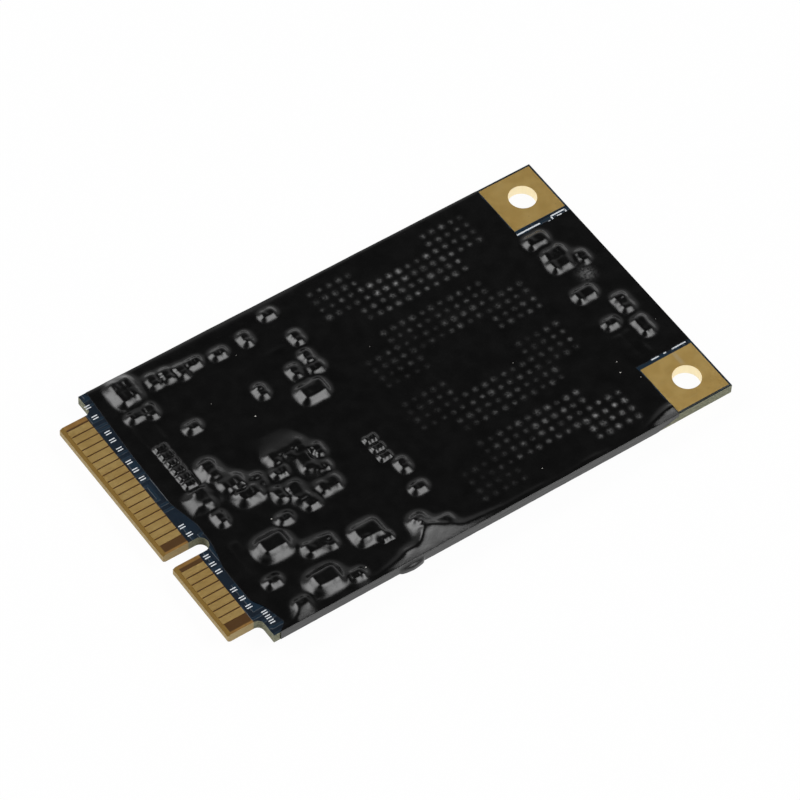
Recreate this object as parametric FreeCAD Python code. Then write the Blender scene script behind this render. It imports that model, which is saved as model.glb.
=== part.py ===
import FreeCAD, Part
import os
from collections import namedtuple
from math import sqrt

# A bare solid state drive on a full-size mini card. Millimetres, +Z up, film side up.
# X runs from the plug-in tongue (-X) to the two screw holes (+X), Y across the card.
# The origin is under the middle of the card, on the plane that the two flash packages rest on.
# Places on the card are given from the tongue's end, from a card edge, or from the centre line.

# Card
CARD_LENGTH = 50.80
CARD_WIDTH = 29.85
BOARD_THICKNESS = 1.00
TONGUE_LENGTH = 3.20
TONGUE_WIDTH = 25.70
NARROW_TONGUE_WIDTH = 8.25
KEY_SLOT_WIDTH = 1.50
KEY_SLOT_DEPTH = 4.00
SHOULDER_FILLET = 0.60
TONGUE_BEVEL_RUN = 0.25
TONGUE_BEVEL_DROP = 0.18

# Edge contacts
CONTACT_PITCH = 0.80
CONTACT_WIDTH = 0.66
CONTACT_LENGTH = 2.20
CONTACT_THICKNESS = 0.04
CONTACT_BEVEL_GAP = 0.05
CONTACT_KEY_GAP = 4.00
CONTACT_END_MARGIN = 0.50
UPPER_ROW_SHIFT = 0.10
ROW_STAGGER = 0.40

# Screw holes and their plated lands
HOLE_DIAMETER = 2.60
HOLE_SPACING = 24.20
HOLE_END_DISTANCE = 2.75
HOLE_PLATING = 0.05
LAND_SIDE = 5.50
LAND_EDGE_INSET = 0.15
LAND_THICKNESS = 0.04

# Insulating film
FILM_THICKNESS = 0.10
FILM_SIDE_CLEARANCE = 0.06
FILM_FLANK = 0.85
FILM_SHOULDER_MARGIN = 0.40
FILM_CORNER_MARGIN = 0.80
FILM_KEY_CLEARANCE = 0.15
FILM_KEY_RELIEF = 0.60
FILM_KEY_FAR_TAPER = 3.60
FILM_KEY_NEAR_TAPER = 2.40
FILM_LAND_CLEARANCE = 0.30
FILM_EDGE_MARGIN = 0.06
FILM_NEAR_CORNER_CUT = 1.70
FILM_NEAR_CORNER_RISE = 3.40
FILM_FOLD_DEPTH = 0.90

# Flash packages below the board, and the bare flash lands above it
FLASH_LENGTH = 18.00
FLASH_WIDTH = 14.00
FLASH_HEIGHT = 0.95
FLASH_SPACING = 14.40
FLASH_PITCH = 1.00
FLASH_COLUMN_REACH = 8
FLASH_ROW_REACH = 6
FLASH_FULL_ROWS = (3, 4)
FLASH_OUTER_COLUMNS_FROM = 4
FLASH_INNER_COLUMNS_TO = 5
FLASH_LAND_DIAMETER = 0.44
FLASH_LAND_HEIGHT = 0.05
FLASH_LAND_FLANK = 0.35
BALL_DIAMETER = 0.42
BALL_HEIGHT = 0.25

# Controller and cache memory, below the board
CONTROLLER_SIDE = 12.00
CONTROLLER_HEIGHT = 0.90
CONTROLLER_BALLS = 12
CONTROLLER_FROM_TONGUE = 13.00
CONTROLLER_FROM_CENTRE = 6.60
CACHE_LENGTH = 11.00
CACHE_WIDTH = 7.50
CACHE_HEIGHT = 0.85
CACHE_COLUMNS = 13
CACHE_ROWS = (2, 3, 4)
CACHE_FROM_TONGUE = 14.60
CACHE_FROM_CENTRE = -6.70
FINE_BALL_PITCH = 0.80
PIN_ONE_DIAMETER = 0.90
PIN_ONE_DEPTH = 0.06
PIN_ONE_INSET = 1.20

# Voltage regulator and crystal, below the board
REGULATOR_SIDE = 3.00
REGULATOR_HEIGHT = 0.80
REGULATOR_LEADS = 4
REGULATOR_LEAD_PITCH = 0.65
REGULATOR_LEAD_WIDTH = 0.30
REGULATOR_LEAD_LENGTH = 0.45
REGULATOR_LEAD_HEIGHT = 0.20
REGULATOR_LEAD_PROUD = 0.08
REGULATOR_FROM_TONGUE = 6.40
REGULATOR_FROM_CENTRE = -7.40
CRYSTAL_LENGTH = 2.50
CRYSTAL_WIDTH = 2.00
CRYSTAL_BASE_HEIGHT = 0.40
CRYSTAL_LID_HEIGHT = 0.28
CRYSTAL_LID_STEP = 0.10
CRYSTAL_FROM_TONGUE = 6.40
CRYSTAL_FROM_CENTRE = -0.90

# Chip parts: length, width, height, and the length of each metal end
Chip = namedtuple("Chip", "length width height band")
CHIPS = {
    "small_capacitors": Chip(1.00, 0.50, 0.33, 0.25),
    "medium_capacitors": Chip(1.60, 0.80, 0.50, 0.35),
    "large_capacitors": Chip(2.00, 1.25, 0.48, 0.45),
    "power_inductors": Chip(2.00, 1.25, 0.72, 0.45),
    "filter_beads": Chip(1.60, 0.80, 0.36, 0.30),
    "resistors": Chip(1.00, 0.50, 0.25, 0.22),
}
CHIP_BODY_STEP = 0.02

# Chips under the film: kind, axis, distance from the tongue's end, distance from the far long edge
FAR_EDGE_CHIPS = [
    ("medium_capacitors", "x", 6.70, 1.25),
    ("medium_capacitors", "x", 6.70, 2.50),
    ("small_capacitors", "x", 6.00, 4.65),
    ("small_capacitors", "y", 7.45, 4.85),
    ("small_capacitors", "y", 9.35, 2.25),
    ("small_capacitors", "y", 10.65, 2.35),
    ("small_capacitors", "y", 11.95, 2.70),
    ("small_capacitors", "x", 13.35, 2.50),
    ("small_capacitors", "x", 15.75, 2.80),
    ("small_capacitors", "y", 18.55, 2.75),
    ("small_capacitors", "x", 21.70, 1.55),
    ("small_capacitors", "y", 22.35, 5.00),
    ("small_capacitors", "y", 21.90, 7.30),
    ("small_capacitors", "y", 20.10, 8.05),
    ("small_capacitors", "x", 21.90, 8.65),
    ("large_capacitors", "x", 20.20, 10.65),
    ("small_capacitors", "y", 16.50, 8.25),
    ("small_capacitors", "x", 9.50, 8.25),
]
# The same, with the last number measured from the centre line
CENTRE_CHIPS = [
    ("medium_capacitors", "y", 8.10, 1.98),
    ("medium_capacitors", "y", 6.00, -0.12),
    ("medium_capacitors", "x", 8.85, -0.22),
    ("medium_capacitors", "x", 9.50, -1.92),
    ("small_capacitors", "y", 11.00, -1.08),
    ("small_capacitors", "y", 6.10, -2.72),
    ("small_capacitors", "y", 13.30, 0.08),
    ("small_capacitors", "y", 14.60, -0.02),
    ("small_capacitors", "y", 15.90, 0.08),
    ("small_capacitors", "x", 13.00, -1.38),
    ("filter_beads", "y", 15.40, -1.72),
    ("small_capacitors", "y", 17.00, -1.18),
    ("small_capacitors", "x", 16.30, -2.92),
    ("filter_beads", "x", 15.70, -4.72),
    ("small_capacitors", "x", 13.45, -5.52),
    ("small_capacitors", "y", 11.60, -3.32),
    ("filter_beads", "y", 13.00, -3.92),
    ("small_capacitors", "x", 10.60, -5.62),
]
# The same, with the last number measured from the near long edge
NEAR_EDGE_CHIPS = [
    ("power_inductors", "x", 8.15, 7.50),
    ("filter_beads", "x", 11.10, 5.50),
    ("small_capacitors", "y", 12.40, 5.30),
    ("small_capacitors", "x", 6.15, 4.50),
    ("power_inductors", "x", 9.85, 2.20),
    ("small_capacitors", "x", 6.90, 1.30),
    ("small_capacitors", "x", 12.40, 1.15),
    ("large_capacitors", "x", 15.55, 4.30),
    ("resistors", "x", 16.65, 3.05),
    ("medium_capacitors", "y", 19.80, 2.40),
    ("small_capacitors", "x", 21.70, 1.70),
    ("small_capacitors", "x", 21.90, 5.80),
    ("small_capacitors", "y", 22.15, 8.50),
]
# Chips between the screw holes: distance from the far end, and from the centre line
FAR_END_CHIPS = [
    ("filter_beads", "x", 4.75, 7.32),
    ("filter_beads", "x", 4.30, 5.18),
    ("filter_beads", "x", 4.55, 3.98),
    ("small_capacitors", "y", 2.40, 3.62),
    ("filter_beads", "x", 4.75, 0.08),
    ("filter_beads", "y", 2.50, -2.52),
    ("small_capacitors", "x", 4.75, -3.82),
    ("filter_beads", "y", 2.55, -5.52),
]
# Columns of like resistors: distance from the tongue's end, first place from the centre line, pitch, count
RESISTOR_COLUMNS = [
    (6.00, 1.78, 0.90, 6),
    (21.40, -4.82, 1.10, 3),
]
# Lands with no part on them, in columns as above, then the same measured from the far end
TONGUE_SPARE_LANDS = [
    (5.55, 7.20, 0.95, 3),
    (6.60, 7.20, 0.95, 3),
    (5.50, -8.40, 0.90, 4),
]
FAR_END_SPARE_LANDS = [
    (5.25, -7.70, 1.05, 3),
    (4.05, -7.70, 1.05, 3),
]
SPARE_LAND_LENGTH = 0.50
SPARE_LAND_WIDTH = 0.60
SPARE_LAND_HEIGHT = 0.05
TEST_LAND_DIAMETER = 1.45
TEST_LAND_FROM_END = 3.22
TEST_LAND_FROM_CENTRE = 1.88

# Reach of the chips from the tongue's end and from the far end, with the flash footprints midway between
TONGUE_CHIPS_REACH = 22.71
FAR_END_CHIPS_REACH = 5.55

# Columns of chips below the board: kind, axis, from the tongue's end, first from the centre line,
# pitch, count
UNDERSIDE_COLUMNS = [
    ("resistors", "x", 5.30, 2.40, 1.30, 8),
    ("medium_capacitors", "x", 5.70, -12.40, 1.50, 2),
    ("medium_capacitors", "x", 8.60, -12.40, 1.50, 1),
]
# One column below the far end, measured from there
UNDERSIDE_END_COLUMN = ("medium_capacitors", "y", 4.80, -6.00, 3.00, 5)
# One row between controller and cache: kind, axis, first from the tongue's end, centre line, pitch, count
UNDERSIDE_ROW = ("small_capacitors", "y", 9.20, -1.20, 1.60, 7)
# Columns of small capacitors beside the flash packages, as many as there is room for
BESIDE_FLASH_GAP = 1.30
BESIDE_FLASH_PITCH = 1.60
BESIDE_FLASH_CLEARANCE = 0.40
BESIDE_FLASH_ROWS = (-11.40, 1.90, 13)

# Levels, from the resting plane up
BOARD_BOTTOM = FLASH_HEIGHT + BALL_HEIGHT
BOARD_TOP = BOARD_BOTTOM + BOARD_THICKNESS

# Places that follow from the card
TONGUE_END = -CARD_LENGTH / 2
FAR_END = CARD_LENGTH / 2
NEAR_EDGE = -CARD_WIDTH / 2
FAR_EDGE = CARD_WIDTH / 2
SHOULDER = TONGUE_END + TONGUE_LENGTH
TONGUE_NEAR = -TONGUE_WIDTH / 2
TONGUE_FAR = TONGUE_WIDTH / 2
KEY_NEAR = TONGUE_NEAR + NARROW_TONGUE_WIDTH
KEY_FAR = KEY_NEAR + KEY_SLOT_WIDTH
KEY_CENTRE = (KEY_NEAR + KEY_FAR) / 2
KEY_END = TONGUE_END + KEY_SLOT_DEPTH
HOLE_X = FAR_END - HOLE_END_DISTANCE
FLASH_X = (TONGUE_END + TONGUE_CHIPS_REACH + FAR_END - FAR_END_CHIPS_REACH) / 2
FLASH_START = FLASH_X - FLASH_LENGTH / 2
CACHE_X = TONGUE_END + CACHE_FROM_TONGUE
FILM_LAND_X = FAR_END - LAND_EDGE_INSET - LAND_SIDE - FILM_LAND_CLEARANCE
FILM_LAND_Y = FAR_EDGE - LAND_EDGE_INSET - LAND_SIDE - FILM_LAND_CLEARANCE


def vec(x, y, z=0.0):
    return FreeCAD.Vector(x, y, z)


def block(x, y, size_x, size_y, bottom, top):
    """A box centred on (x, y) between two levels."""
    return Part.makeBox(size_x, size_y, top - bottom, vec(x - size_x / 2, y - size_y / 2, bottom))


def disc(x, y, diameter, bottom, top):
    return Part.makeCylinder(diameter / 2, top - bottom, vec(x, y, bottom))


def rectangle(x0, x1, y0, y1, z):
    corners = [vec(x0, y0, z), vec(x1, y0, z), vec(x1, y1, z), vec(x0, y1, z)]
    return Part.makePolygon(corners + corners[:1])


def prism(points, bottom, top):
    """A straight-sided solid over a closed outline of (x, y) points."""
    corners = [vec(x, y, bottom) for x, y in points]
    outline = Part.makePolygon(corners + corners[:1])
    return Part.Face(outline).extrude(vec(0, 0, top - bottom))


def save(name, shape):
    shape.exportStep(f"parts/{name}.step")


# Board
def board_outline():
    """The card's outline as one wire: shoulders, tongue and key slot, with rounded inner corners."""
    bulge = SHOULDER_FILLET * (1 - sqrt(0.5))
    slot_radius = KEY_SLOT_WIDTH / 2
    runs = [
        (vec(SHOULDER, TONGUE_NEAR - SHOULDER_FILLET), vec(SHOULDER, NEAR_EDGE)),
        (vec(SHOULDER, NEAR_EDGE), vec(FAR_END, NEAR_EDGE)),
        (vec(FAR_END, NEAR_EDGE), vec(FAR_END, FAR_EDGE)),
        (vec(FAR_END, FAR_EDGE), vec(SHOULDER, FAR_EDGE)),
        (vec(SHOULDER, FAR_EDGE), vec(SHOULDER, TONGUE_FAR + SHOULDER_FILLET)),
        (vec(SHOULDER - SHOULDER_FILLET, TONGUE_FAR), vec(TONGUE_END, TONGUE_FAR)),
        (vec(TONGUE_END, TONGUE_FAR), vec(TONGUE_END, KEY_FAR)),
        (vec(TONGUE_END, KEY_FAR), vec(KEY_END - slot_radius, KEY_FAR)),
        (vec(KEY_END - slot_radius, KEY_NEAR), vec(TONGUE_END, KEY_NEAR)),
        (vec(TONGUE_END, KEY_NEAR), vec(TONGUE_END, TONGUE_NEAR)),
        (vec(TONGUE_END, TONGUE_NEAR), vec(SHOULDER - SHOULDER_FILLET, TONGUE_NEAR)),
    ]
    arcs = [
        (
            vec(SHOULDER, TONGUE_FAR + SHOULDER_FILLET),
            vec(SHOULDER - bulge, TONGUE_FAR + bulge),
            vec(SHOULDER - SHOULDER_FILLET, TONGUE_FAR),
        ),
        (
            vec(KEY_END - slot_radius, KEY_FAR),
            vec(KEY_END, KEY_CENTRE),
            vec(KEY_END - slot_radius, KEY_NEAR),
        ),
        (
            vec(SHOULDER - SHOULDER_FILLET, TONGUE_NEAR),
            vec(SHOULDER - bulge, TONGUE_NEAR - bulge),
            vec(SHOULDER, TONGUE_NEAR - SHOULDER_FILLET),
        ),
    ]
    edges = [Part.LineSegment(start, end).toShape() for start, end in runs]
    edges += [Part.Arc(start, middle, end).toShape() for start, middle, end in arcs]
    return Part.Wire(Part.__sortEdges__(edges))


def tongue_bevel(face_level, inward):
    """The wedge that is ground off one edge of the tongue's end."""
    corners = [
        vec(TONGUE_END, TONGUE_NEAR, face_level),
        vec(TONGUE_END + TONGUE_BEVEL_RUN, TONGUE_NEAR, face_level),
        vec(TONGUE_END, TONGUE_NEAR, face_level + inward * TONGUE_BEVEL_DROP),
    ]
    section = Part.Face(Part.makePolygon(corners + corners[:1]))
    return section.extrude(vec(0, TONGUE_WIDTH, 0))


def hole_places():
    return {"near": (HOLE_X, -HOLE_SPACING / 2), "far": (HOLE_X, HOLE_SPACING / 2)}


def make_board():
    board = Part.Face(board_outline()).extrude(vec(0, 0, BOARD_THICKNESS))
    board.translate(vec(0, 0, BOARD_BOTTOM))
    cutters = [tongue_bevel(BOARD_TOP, -1), tongue_bevel(BOARD_BOTTOM, 1)]
    for x, y in hole_places().values():
        cutters.append(disc(x, y, HOLE_DIAMETER + 2 * HOLE_PLATING, BOARD_BOTTOM, BOARD_TOP))
    return board.cut(Part.makeCompound(cutters))


# Contacts on the tongue
def contact_centres(shift):
    """Contacts count outwards from both sides of the key, as many as the tongue has room for."""
    centres = []
    for side, limit in ((1, TONGUE_FAR), (-1, -TONGUE_NEAR)):
        y = KEY_CENTRE + shift + side * CONTACT_KEY_GAP / 2
        while side * y + CONTACT_WIDTH / 2 + CONTACT_END_MARGIN <= limit:
            centres.append(y)
            y += side * CONTACT_PITCH
    return centres


def make_contacts(shift, bottom):
    start = TONGUE_END + TONGUE_BEVEL_RUN + CONTACT_BEVEL_GAP
    x = start + CONTACT_LENGTH / 2
    top = bottom + CONTACT_THICKNESS
    centres = contact_centres(shift)
    return Part.makeCompound([block(x, y, CONTACT_LENGTH, CONTACT_WIDTH, bottom, top) for y in centres])


# Plated lands around the screw holes
def make_mounting_land(side, hole):
    x = FAR_END - LAND_EDGE_INSET - LAND_SIDE / 2
    y = side * (FAR_EDGE - LAND_EDGE_INSET - LAND_SIDE / 2)
    bottom = BOARD_BOTTOM - LAND_THICKNESS
    top = BOARD_TOP + LAND_THICKNESS
    upper = block(x, y, LAND_SIDE, LAND_SIDE, BOARD_TOP, top)
    lower = block(x, y, LAND_SIDE, LAND_SIDE, bottom, BOARD_BOTTOM)
    barrel = disc(*hole, HOLE_DIAMETER + 2 * HOLE_PLATING, bottom, top)
    bore = disc(*hole, HOLE_DIAMETER, bottom, top)
    return upper.fuse([lower, barrel]).cut(bore).removeSplitter()


# Chip parts
def footprint(kind, axis):
    chip = CHIPS[kind]
    return (chip.length, chip.width) if axis == "x" else (chip.width, chip.length)


def make_chip(kind, axis, x, y, level, up):
    """One chip part on the board's face at level: its body and its two metal ends."""
    chip = CHIPS[kind]
    bottom, top = sorted((level, level + up * chip.height))
    inset = CHIP_BODY_STEP
    length = chip.length - 2 * chip.band
    body = block(x, y, length, chip.width - 2 * inset, bottom + inset, top - inset)
    reach = (chip.length - chip.band) / 2
    ends = [block(x + side * reach, y, chip.band, chip.width, bottom, top) for side in (-1, 1)]
    if axis == "y":
        for solid in [body] + ends:
            solid.rotate(vec(x, y), vec(0, 0, 1), 90)
    return body, ends


def film_side_chips():
    """Every chip under the film as (kind, axis, x, y)."""
    places = [(kind, axis, TONGUE_END + u, FAR_EDGE - v) for kind, axis, u, v in FAR_EDGE_CHIPS]
    places += [(kind, axis, TONGUE_END + u, y) for kind, axis, u, y in CENTRE_CHIPS]
    places += [(kind, axis, TONGUE_END + u, NEAR_EDGE + v) for kind, axis, u, v in NEAR_EDGE_CHIPS]
    places += [(kind, axis, FAR_END - u, y) for kind, axis, u, y in FAR_END_CHIPS]
    for u, first, pitch, count in RESISTOR_COLUMNS:
        places += [("resistors", "x", TONGUE_END + u, first + i * pitch) for i in range(count)]
    return places


def underside_chips():
    """Every chip below the board as (kind, axis, x, y)."""
    places = []
    for kind, axis, u, first, pitch, count in UNDERSIDE_COLUMNS:
        places += [(kind, axis, TONGUE_END + u, first + i * pitch) for i in range(count)]
    kind, axis, u, first, pitch, count = UNDERSIDE_END_COLUMN
    places += [(kind, axis, FAR_END - u, first + i * pitch) for i in range(count)]
    kind, axis, first, y, pitch, count = UNDERSIDE_ROW
    places += [(kind, axis, TONGUE_END + first + i * pitch, y) for i in range(count)]
    first, pitch, count = BESIDE_FLASH_ROWS
    x = CACHE_X + CACHE_LENGTH / 2 + BESIDE_FLASH_GAP
    while x + CHIPS["small_capacitors"].width / 2 + BESIDE_FLASH_CLEARANCE <= FLASH_START:
        places += [("small_capacitors", "y", x, first + i * pitch) for i in range(count)]
        x += BESIDE_FLASH_PITCH
    return places


def save_chips(prefix, places, level, up):
    """One node of bodies and one of metal ends for each kind of chip."""
    bodies = {}
    ends = {}
    for kind, axis, x, y in places:
        body, caps = make_chip(kind, axis, x, y, level, up)
        bodies.setdefault(kind, []).append(body)
        ends.setdefault(kind, []).extend(caps)
    for kind in bodies:
        save(f"{prefix}_{kind}", Part.makeCompound(bodies[kind]))
        save(f"{prefix}_{kind}_ends", Part.makeCompound(ends[kind]))


# Bare lands under the film
def flash_grid():
    """Places of one flash footprint's contacts about its middle, with the standard empty fields."""
    places = []
    for row in range(-FLASH_ROW_REACH, FLASH_ROW_REACH + 1):
        for column in range(-FLASH_COLUMN_REACH, FLASH_COLUMN_REACH + 1):
            full = abs(row) in FLASH_FULL_ROWS
            outer = abs(row) > max(FLASH_FULL_ROWS) and abs(column) >= FLASH_OUTER_COLUMNS_FROM
            inner = 0 < abs(row) < min(FLASH_FULL_ROWS) and abs(column) <= FLASH_INNER_COLUMNS_TO
            if outer or full or inner:
                places.append((column * FLASH_PITCH, row * FLASH_PITCH))
    return places


def flash_discs(y, diameter, bottom, top):
    return Part.makeCompound(
        [disc(FLASH_X + dx, y + dy, diameter, bottom, top) for dx, dy in flash_grid()]
    )


def spare_land_places():
    places = []
    for u, first, pitch, count in TONGUE_SPARE_LANDS:
        places += [(TONGUE_END + u, first + i * pitch) for i in range(count)]
    for u, first, pitch, count in FAR_END_SPARE_LANDS:
        places += [(FAR_END - u, first + i * pitch) for i in range(count)]
    return places


def make_spare_lands():
    top = BOARD_TOP + SPARE_LAND_HEIGHT
    size = (SPARE_LAND_LENGTH, SPARE_LAND_WIDTH)
    return Part.makeCompound([block(x, y, *size, BOARD_TOP, top) for x, y in spare_land_places()])


def test_land_place():
    return FAR_END - TEST_LAND_FROM_END, TEST_LAND_FROM_CENTRE


# Insulating film
def film_outline():
    """The film's outline: trimmed round the tongue's key and both mounting lands."""
    start = SHOULDER + FILM_SHOULDER_MARGIN
    key = KEY_END + FILM_KEY_CLEARANCE
    near = NEAR_EDGE
    return [
        (start + FILM_NEAR_CORNER_CUT, near),
        (FILM_LAND_X, near),
        (FILM_LAND_X, -FILM_LAND_Y),
        (FAR_END - FILM_EDGE_MARGIN, -FILM_LAND_Y),
        (FAR_END - FILM_EDGE_MARGIN, FILM_LAND_Y),
        (FILM_LAND_X, FILM_LAND_Y),
        (FILM_LAND_X, FAR_EDGE),
        (SHOULDER + FILM_CORNER_MARGIN, FAR_EDGE),
        (start, KEY_FAR + FILM_KEY_FAR_TAPER),
        (key, KEY_FAR + FILM_KEY_RELIEF),
        (key, KEY_NEAR - FILM_KEY_RELIEF),
        (start, KEY_NEAR - FILM_KEY_NEAR_TAPER),
        (start, near + FILM_NEAR_CORNER_RISE),
    ]


def tent(x, y, size_x, size_y, height, flank):
    """The space that film lifted by a part encloses: steep flanks around a flat top, kept on the card."""
    half_x = size_x / 2 + FILM_SIDE_CLEARANCE
    half_y = size_y / 2 + FILM_SIDE_CLEARANCE
    low_y = max(y - half_y - flank, NEAR_EDGE + FILM_EDGE_MARGIN)
    high_y = min(y + half_y + flank, FAR_EDGE - FILM_EDGE_MARGIN)
    high_x = min(x + half_x + flank, FAR_END - 2 * FILM_EDGE_MARGIN)
    low_x = max(x - half_x - flank, SHOULDER + FILM_CORNER_MARGIN)
    foot = rectangle(low_x, high_x, low_y, high_y, BOARD_TOP)
    crown = rectangle(x - half_x, x + half_x, y - half_y, y + half_y, BOARD_TOP + height)
    return Part.makeLoft([foot, crown], True, True)


def film_tents():
    tents = []
    for kind, axis, x, y in film_side_chips():
        height = CHIPS[kind].height
        tents.append(tent(x, y, *footprint(kind, axis), height, FILM_FLANK * sqrt(height)))
    for x, y in spare_land_places():
        tents.append(tent(x, y, SPARE_LAND_LENGTH, SPARE_LAND_WIDTH, SPARE_LAND_HEIGHT, FLASH_LAND_FLANK))
    x, y = test_land_place()
    tents.append(tent(x, y, TEST_LAND_DIAMETER, TEST_LAND_DIAMETER, SPARE_LAND_HEIGHT, FLASH_LAND_FLANK))
    field_x = 2 * FLASH_COLUMN_REACH * FLASH_PITCH + FLASH_LAND_DIAMETER
    field_y = 2 * FLASH_ROW_REACH * FLASH_PITCH + FLASH_LAND_DIAMETER
    for side in (-1, 1):
        y = side * FLASH_SPACING / 2
        tents.append(tent(FLASH_X, y, field_x, field_y, FLASH_LAND_HEIGHT, FLASH_LAND_FLANK))
    return tents


def make_film():
    """One sheet that lies on the board, is lifted over every part and folds down over both long edges."""
    outline = film_outline()
    sheet = prism(outline, BOARD_TOP, BOARD_TOP + FILM_THICKNESS)
    tents = film_tents()
    hollow = tents[0].multiFuse(tents[1:])
    raised = hollow.copy()
    raised.translate(vec(0, 0, FILM_THICKNESS))
    fold_start = SHOULDER + FILM_SHOULDER_MARGIN + FILM_NEAR_CORNER_CUT
    fold_length = FILM_LAND_X - fold_start
    folds = []
    for side in (-1, 1):
        y = side * (FAR_EDGE + FILM_THICKNESS / 2)
        x = fold_start + fold_length / 2
        bottom = BOARD_TOP - FILM_FOLD_DEPTH
        folds.append(block(x, y, fold_length, FILM_THICKNESS, bottom, BOARD_TOP + FILM_THICKNESS))
    return sheet.fuse([raised] + folds).cut(hollow).removeSplitter()


# Packages below the board
def make_package(x, y, length, width, height):
    """A moulded package hanging on its balls, with the pin-one dimple in its outer face."""
    top = BOARD_BOTTOM - BALL_HEIGHT
    bottom = top - height
    body = block(x, y, length, width, bottom, top)
    dimple_x = x - length / 2 + PIN_ONE_INSET
    dimple_y = y + width / 2 - PIN_ONE_INSET
    return body.cut(disc(dimple_x, dimple_y, PIN_ONE_DIAMETER, bottom, bottom + PIN_ONE_DEPTH))


def ball(x, y):
    return disc(x, y, BALL_DIAMETER, BOARD_BOTTOM - BALL_HEIGHT, BOARD_BOTTOM)


def make_controller_balls(x, y):
    offsets = [(i - (CONTROLLER_BALLS - 1) / 2) * FINE_BALL_PITCH for i in range(CONTROLLER_BALLS)]
    return Part.makeCompound([ball(x + dx, y + dy) for dx in offsets for dy in offsets])


def make_cache_balls(x, y):
    """Two banks of three rows, with the middle of the package left empty."""
    along = [(i - (CACHE_COLUMNS - 1) / 2) * FINE_BALL_PITCH for i in range(CACHE_COLUMNS)]
    across = [side * row * FINE_BALL_PITCH for side in (-1, 1) for row in CACHE_ROWS]
    return Part.makeCompound([ball(x + dx, y + dy) for dx in along for dy in across])


def make_regulator(x, y):
    """A leadless power package: the body, notched for leads along all four sides."""
    top = BOARD_BOTTOM
    body = block(x, y, REGULATOR_SIDE, REGULATOR_SIDE, top - REGULATOR_HEIGHT, top)
    reach = (REGULATOR_SIDE - REGULATOR_LEAD_LENGTH) / 2 + REGULATOR_LEAD_PROUD
    offsets = [(i - (REGULATOR_LEADS - 1) / 2) * REGULATOR_LEAD_PITCH for i in range(REGULATOR_LEADS)]
    leads = []
    for side in (-1, 1):
        for offset in offsets:
            along = (REGULATOR_LEAD_LENGTH, REGULATOR_LEAD_WIDTH)
            across = (REGULATOR_LEAD_WIDTH, REGULATOR_LEAD_LENGTH)
            bottom = top - REGULATOR_LEAD_HEIGHT
            leads.append(block(x + side * reach, y + offset, *along, bottom, top))
            leads.append(block(x + offset, y + side * reach, *across, bottom, top))
    leads = Part.makeCompound(leads)
    return body.cut(leads), leads


def make_crystal(x, y):
    """A ceramic base on the board with a metal lid, one step smaller all round."""
    base_bottom = BOARD_BOTTOM - CRYSTAL_BASE_HEIGHT
    base = block(x, y, CRYSTAL_LENGTH, CRYSTAL_WIDTH, base_bottom, BOARD_BOTTOM)
    lid_length = CRYSTAL_LENGTH - 2 * CRYSTAL_LID_STEP
    lid_width = CRYSTAL_WIDTH - 2 * CRYSTAL_LID_STEP
    lid = block(x, y, lid_length, lid_width, base_bottom - CRYSTAL_LID_HEIGHT, base_bottom)
    return base, lid


def main():
    os.makedirs("parts", exist_ok=True)
    save("circuit_board", make_board())
    save("edge_contacts_upper", make_contacts(UPPER_ROW_SHIFT, BOARD_TOP))
    lower_shift = UPPER_ROW_SHIFT - ROW_STAGGER
    save("edge_contacts_lower", make_contacts(lower_shift, BOARD_BOTTOM - CONTACT_THICKNESS))

    for name, side in (("near", -1), ("far", 1)):
        y = side * FLASH_SPACING / 2
        land_top = BOARD_TOP + FLASH_LAND_HEIGHT
        package_top = BOARD_BOTTOM - BALL_HEIGHT
        save(f"mounting_land_{name}", make_mounting_land(side, hole_places()[name]))
        save(f"flash_lands_{name}", flash_discs(y, FLASH_LAND_DIAMETER, BOARD_TOP, land_top))
        save(f"flash_package_{name}", make_package(FLASH_X, y, FLASH_LENGTH, FLASH_WIDTH, FLASH_HEIGHT))
        save(f"flash_balls_{name}", flash_discs(y, BALL_DIAMETER, package_top, BOARD_BOTTOM))

    save_chips("film_side", film_side_chips(), BOARD_TOP, 1)
    save("spare_lands", make_spare_lands())
    save("test_land", disc(*test_land_place(), TEST_LAND_DIAMETER, BOARD_TOP, BOARD_TOP + SPARE_LAND_HEIGHT))
    save("insulating_film", make_film())

    controller = (TONGUE_END + CONTROLLER_FROM_TONGUE, CONTROLLER_FROM_CENTRE)
    controller_sizes = (CONTROLLER_SIDE, CONTROLLER_SIDE, CONTROLLER_HEIGHT)
    save("controller_package", make_package(*controller, *controller_sizes))
    save("controller_balls", make_controller_balls(*controller))
    cache = (CACHE_X, CACHE_FROM_CENTRE)
    save("cache_package", make_package(*cache, CACHE_LENGTH, CACHE_WIDTH, CACHE_HEIGHT))
    save("cache_balls", make_cache_balls(*cache))
    body, leads = make_regulator(TONGUE_END + REGULATOR_FROM_TONGUE, REGULATOR_FROM_CENTRE)
    save("regulator_body", body)
    save("regulator_leads", leads)
    base, lid = make_crystal(TONGUE_END + CRYSTAL_FROM_TONGUE, CRYSTAL_FROM_CENTRE)
    save("crystal_base", base)
    save("crystal_lid", lid)
    save_chips("underside", underside_chips(), BOARD_BOTTOM, -1)


main()
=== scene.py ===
import math

import bmesh
import bpy
import numpy as np
from mathutils import Matrix, Vector


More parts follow.
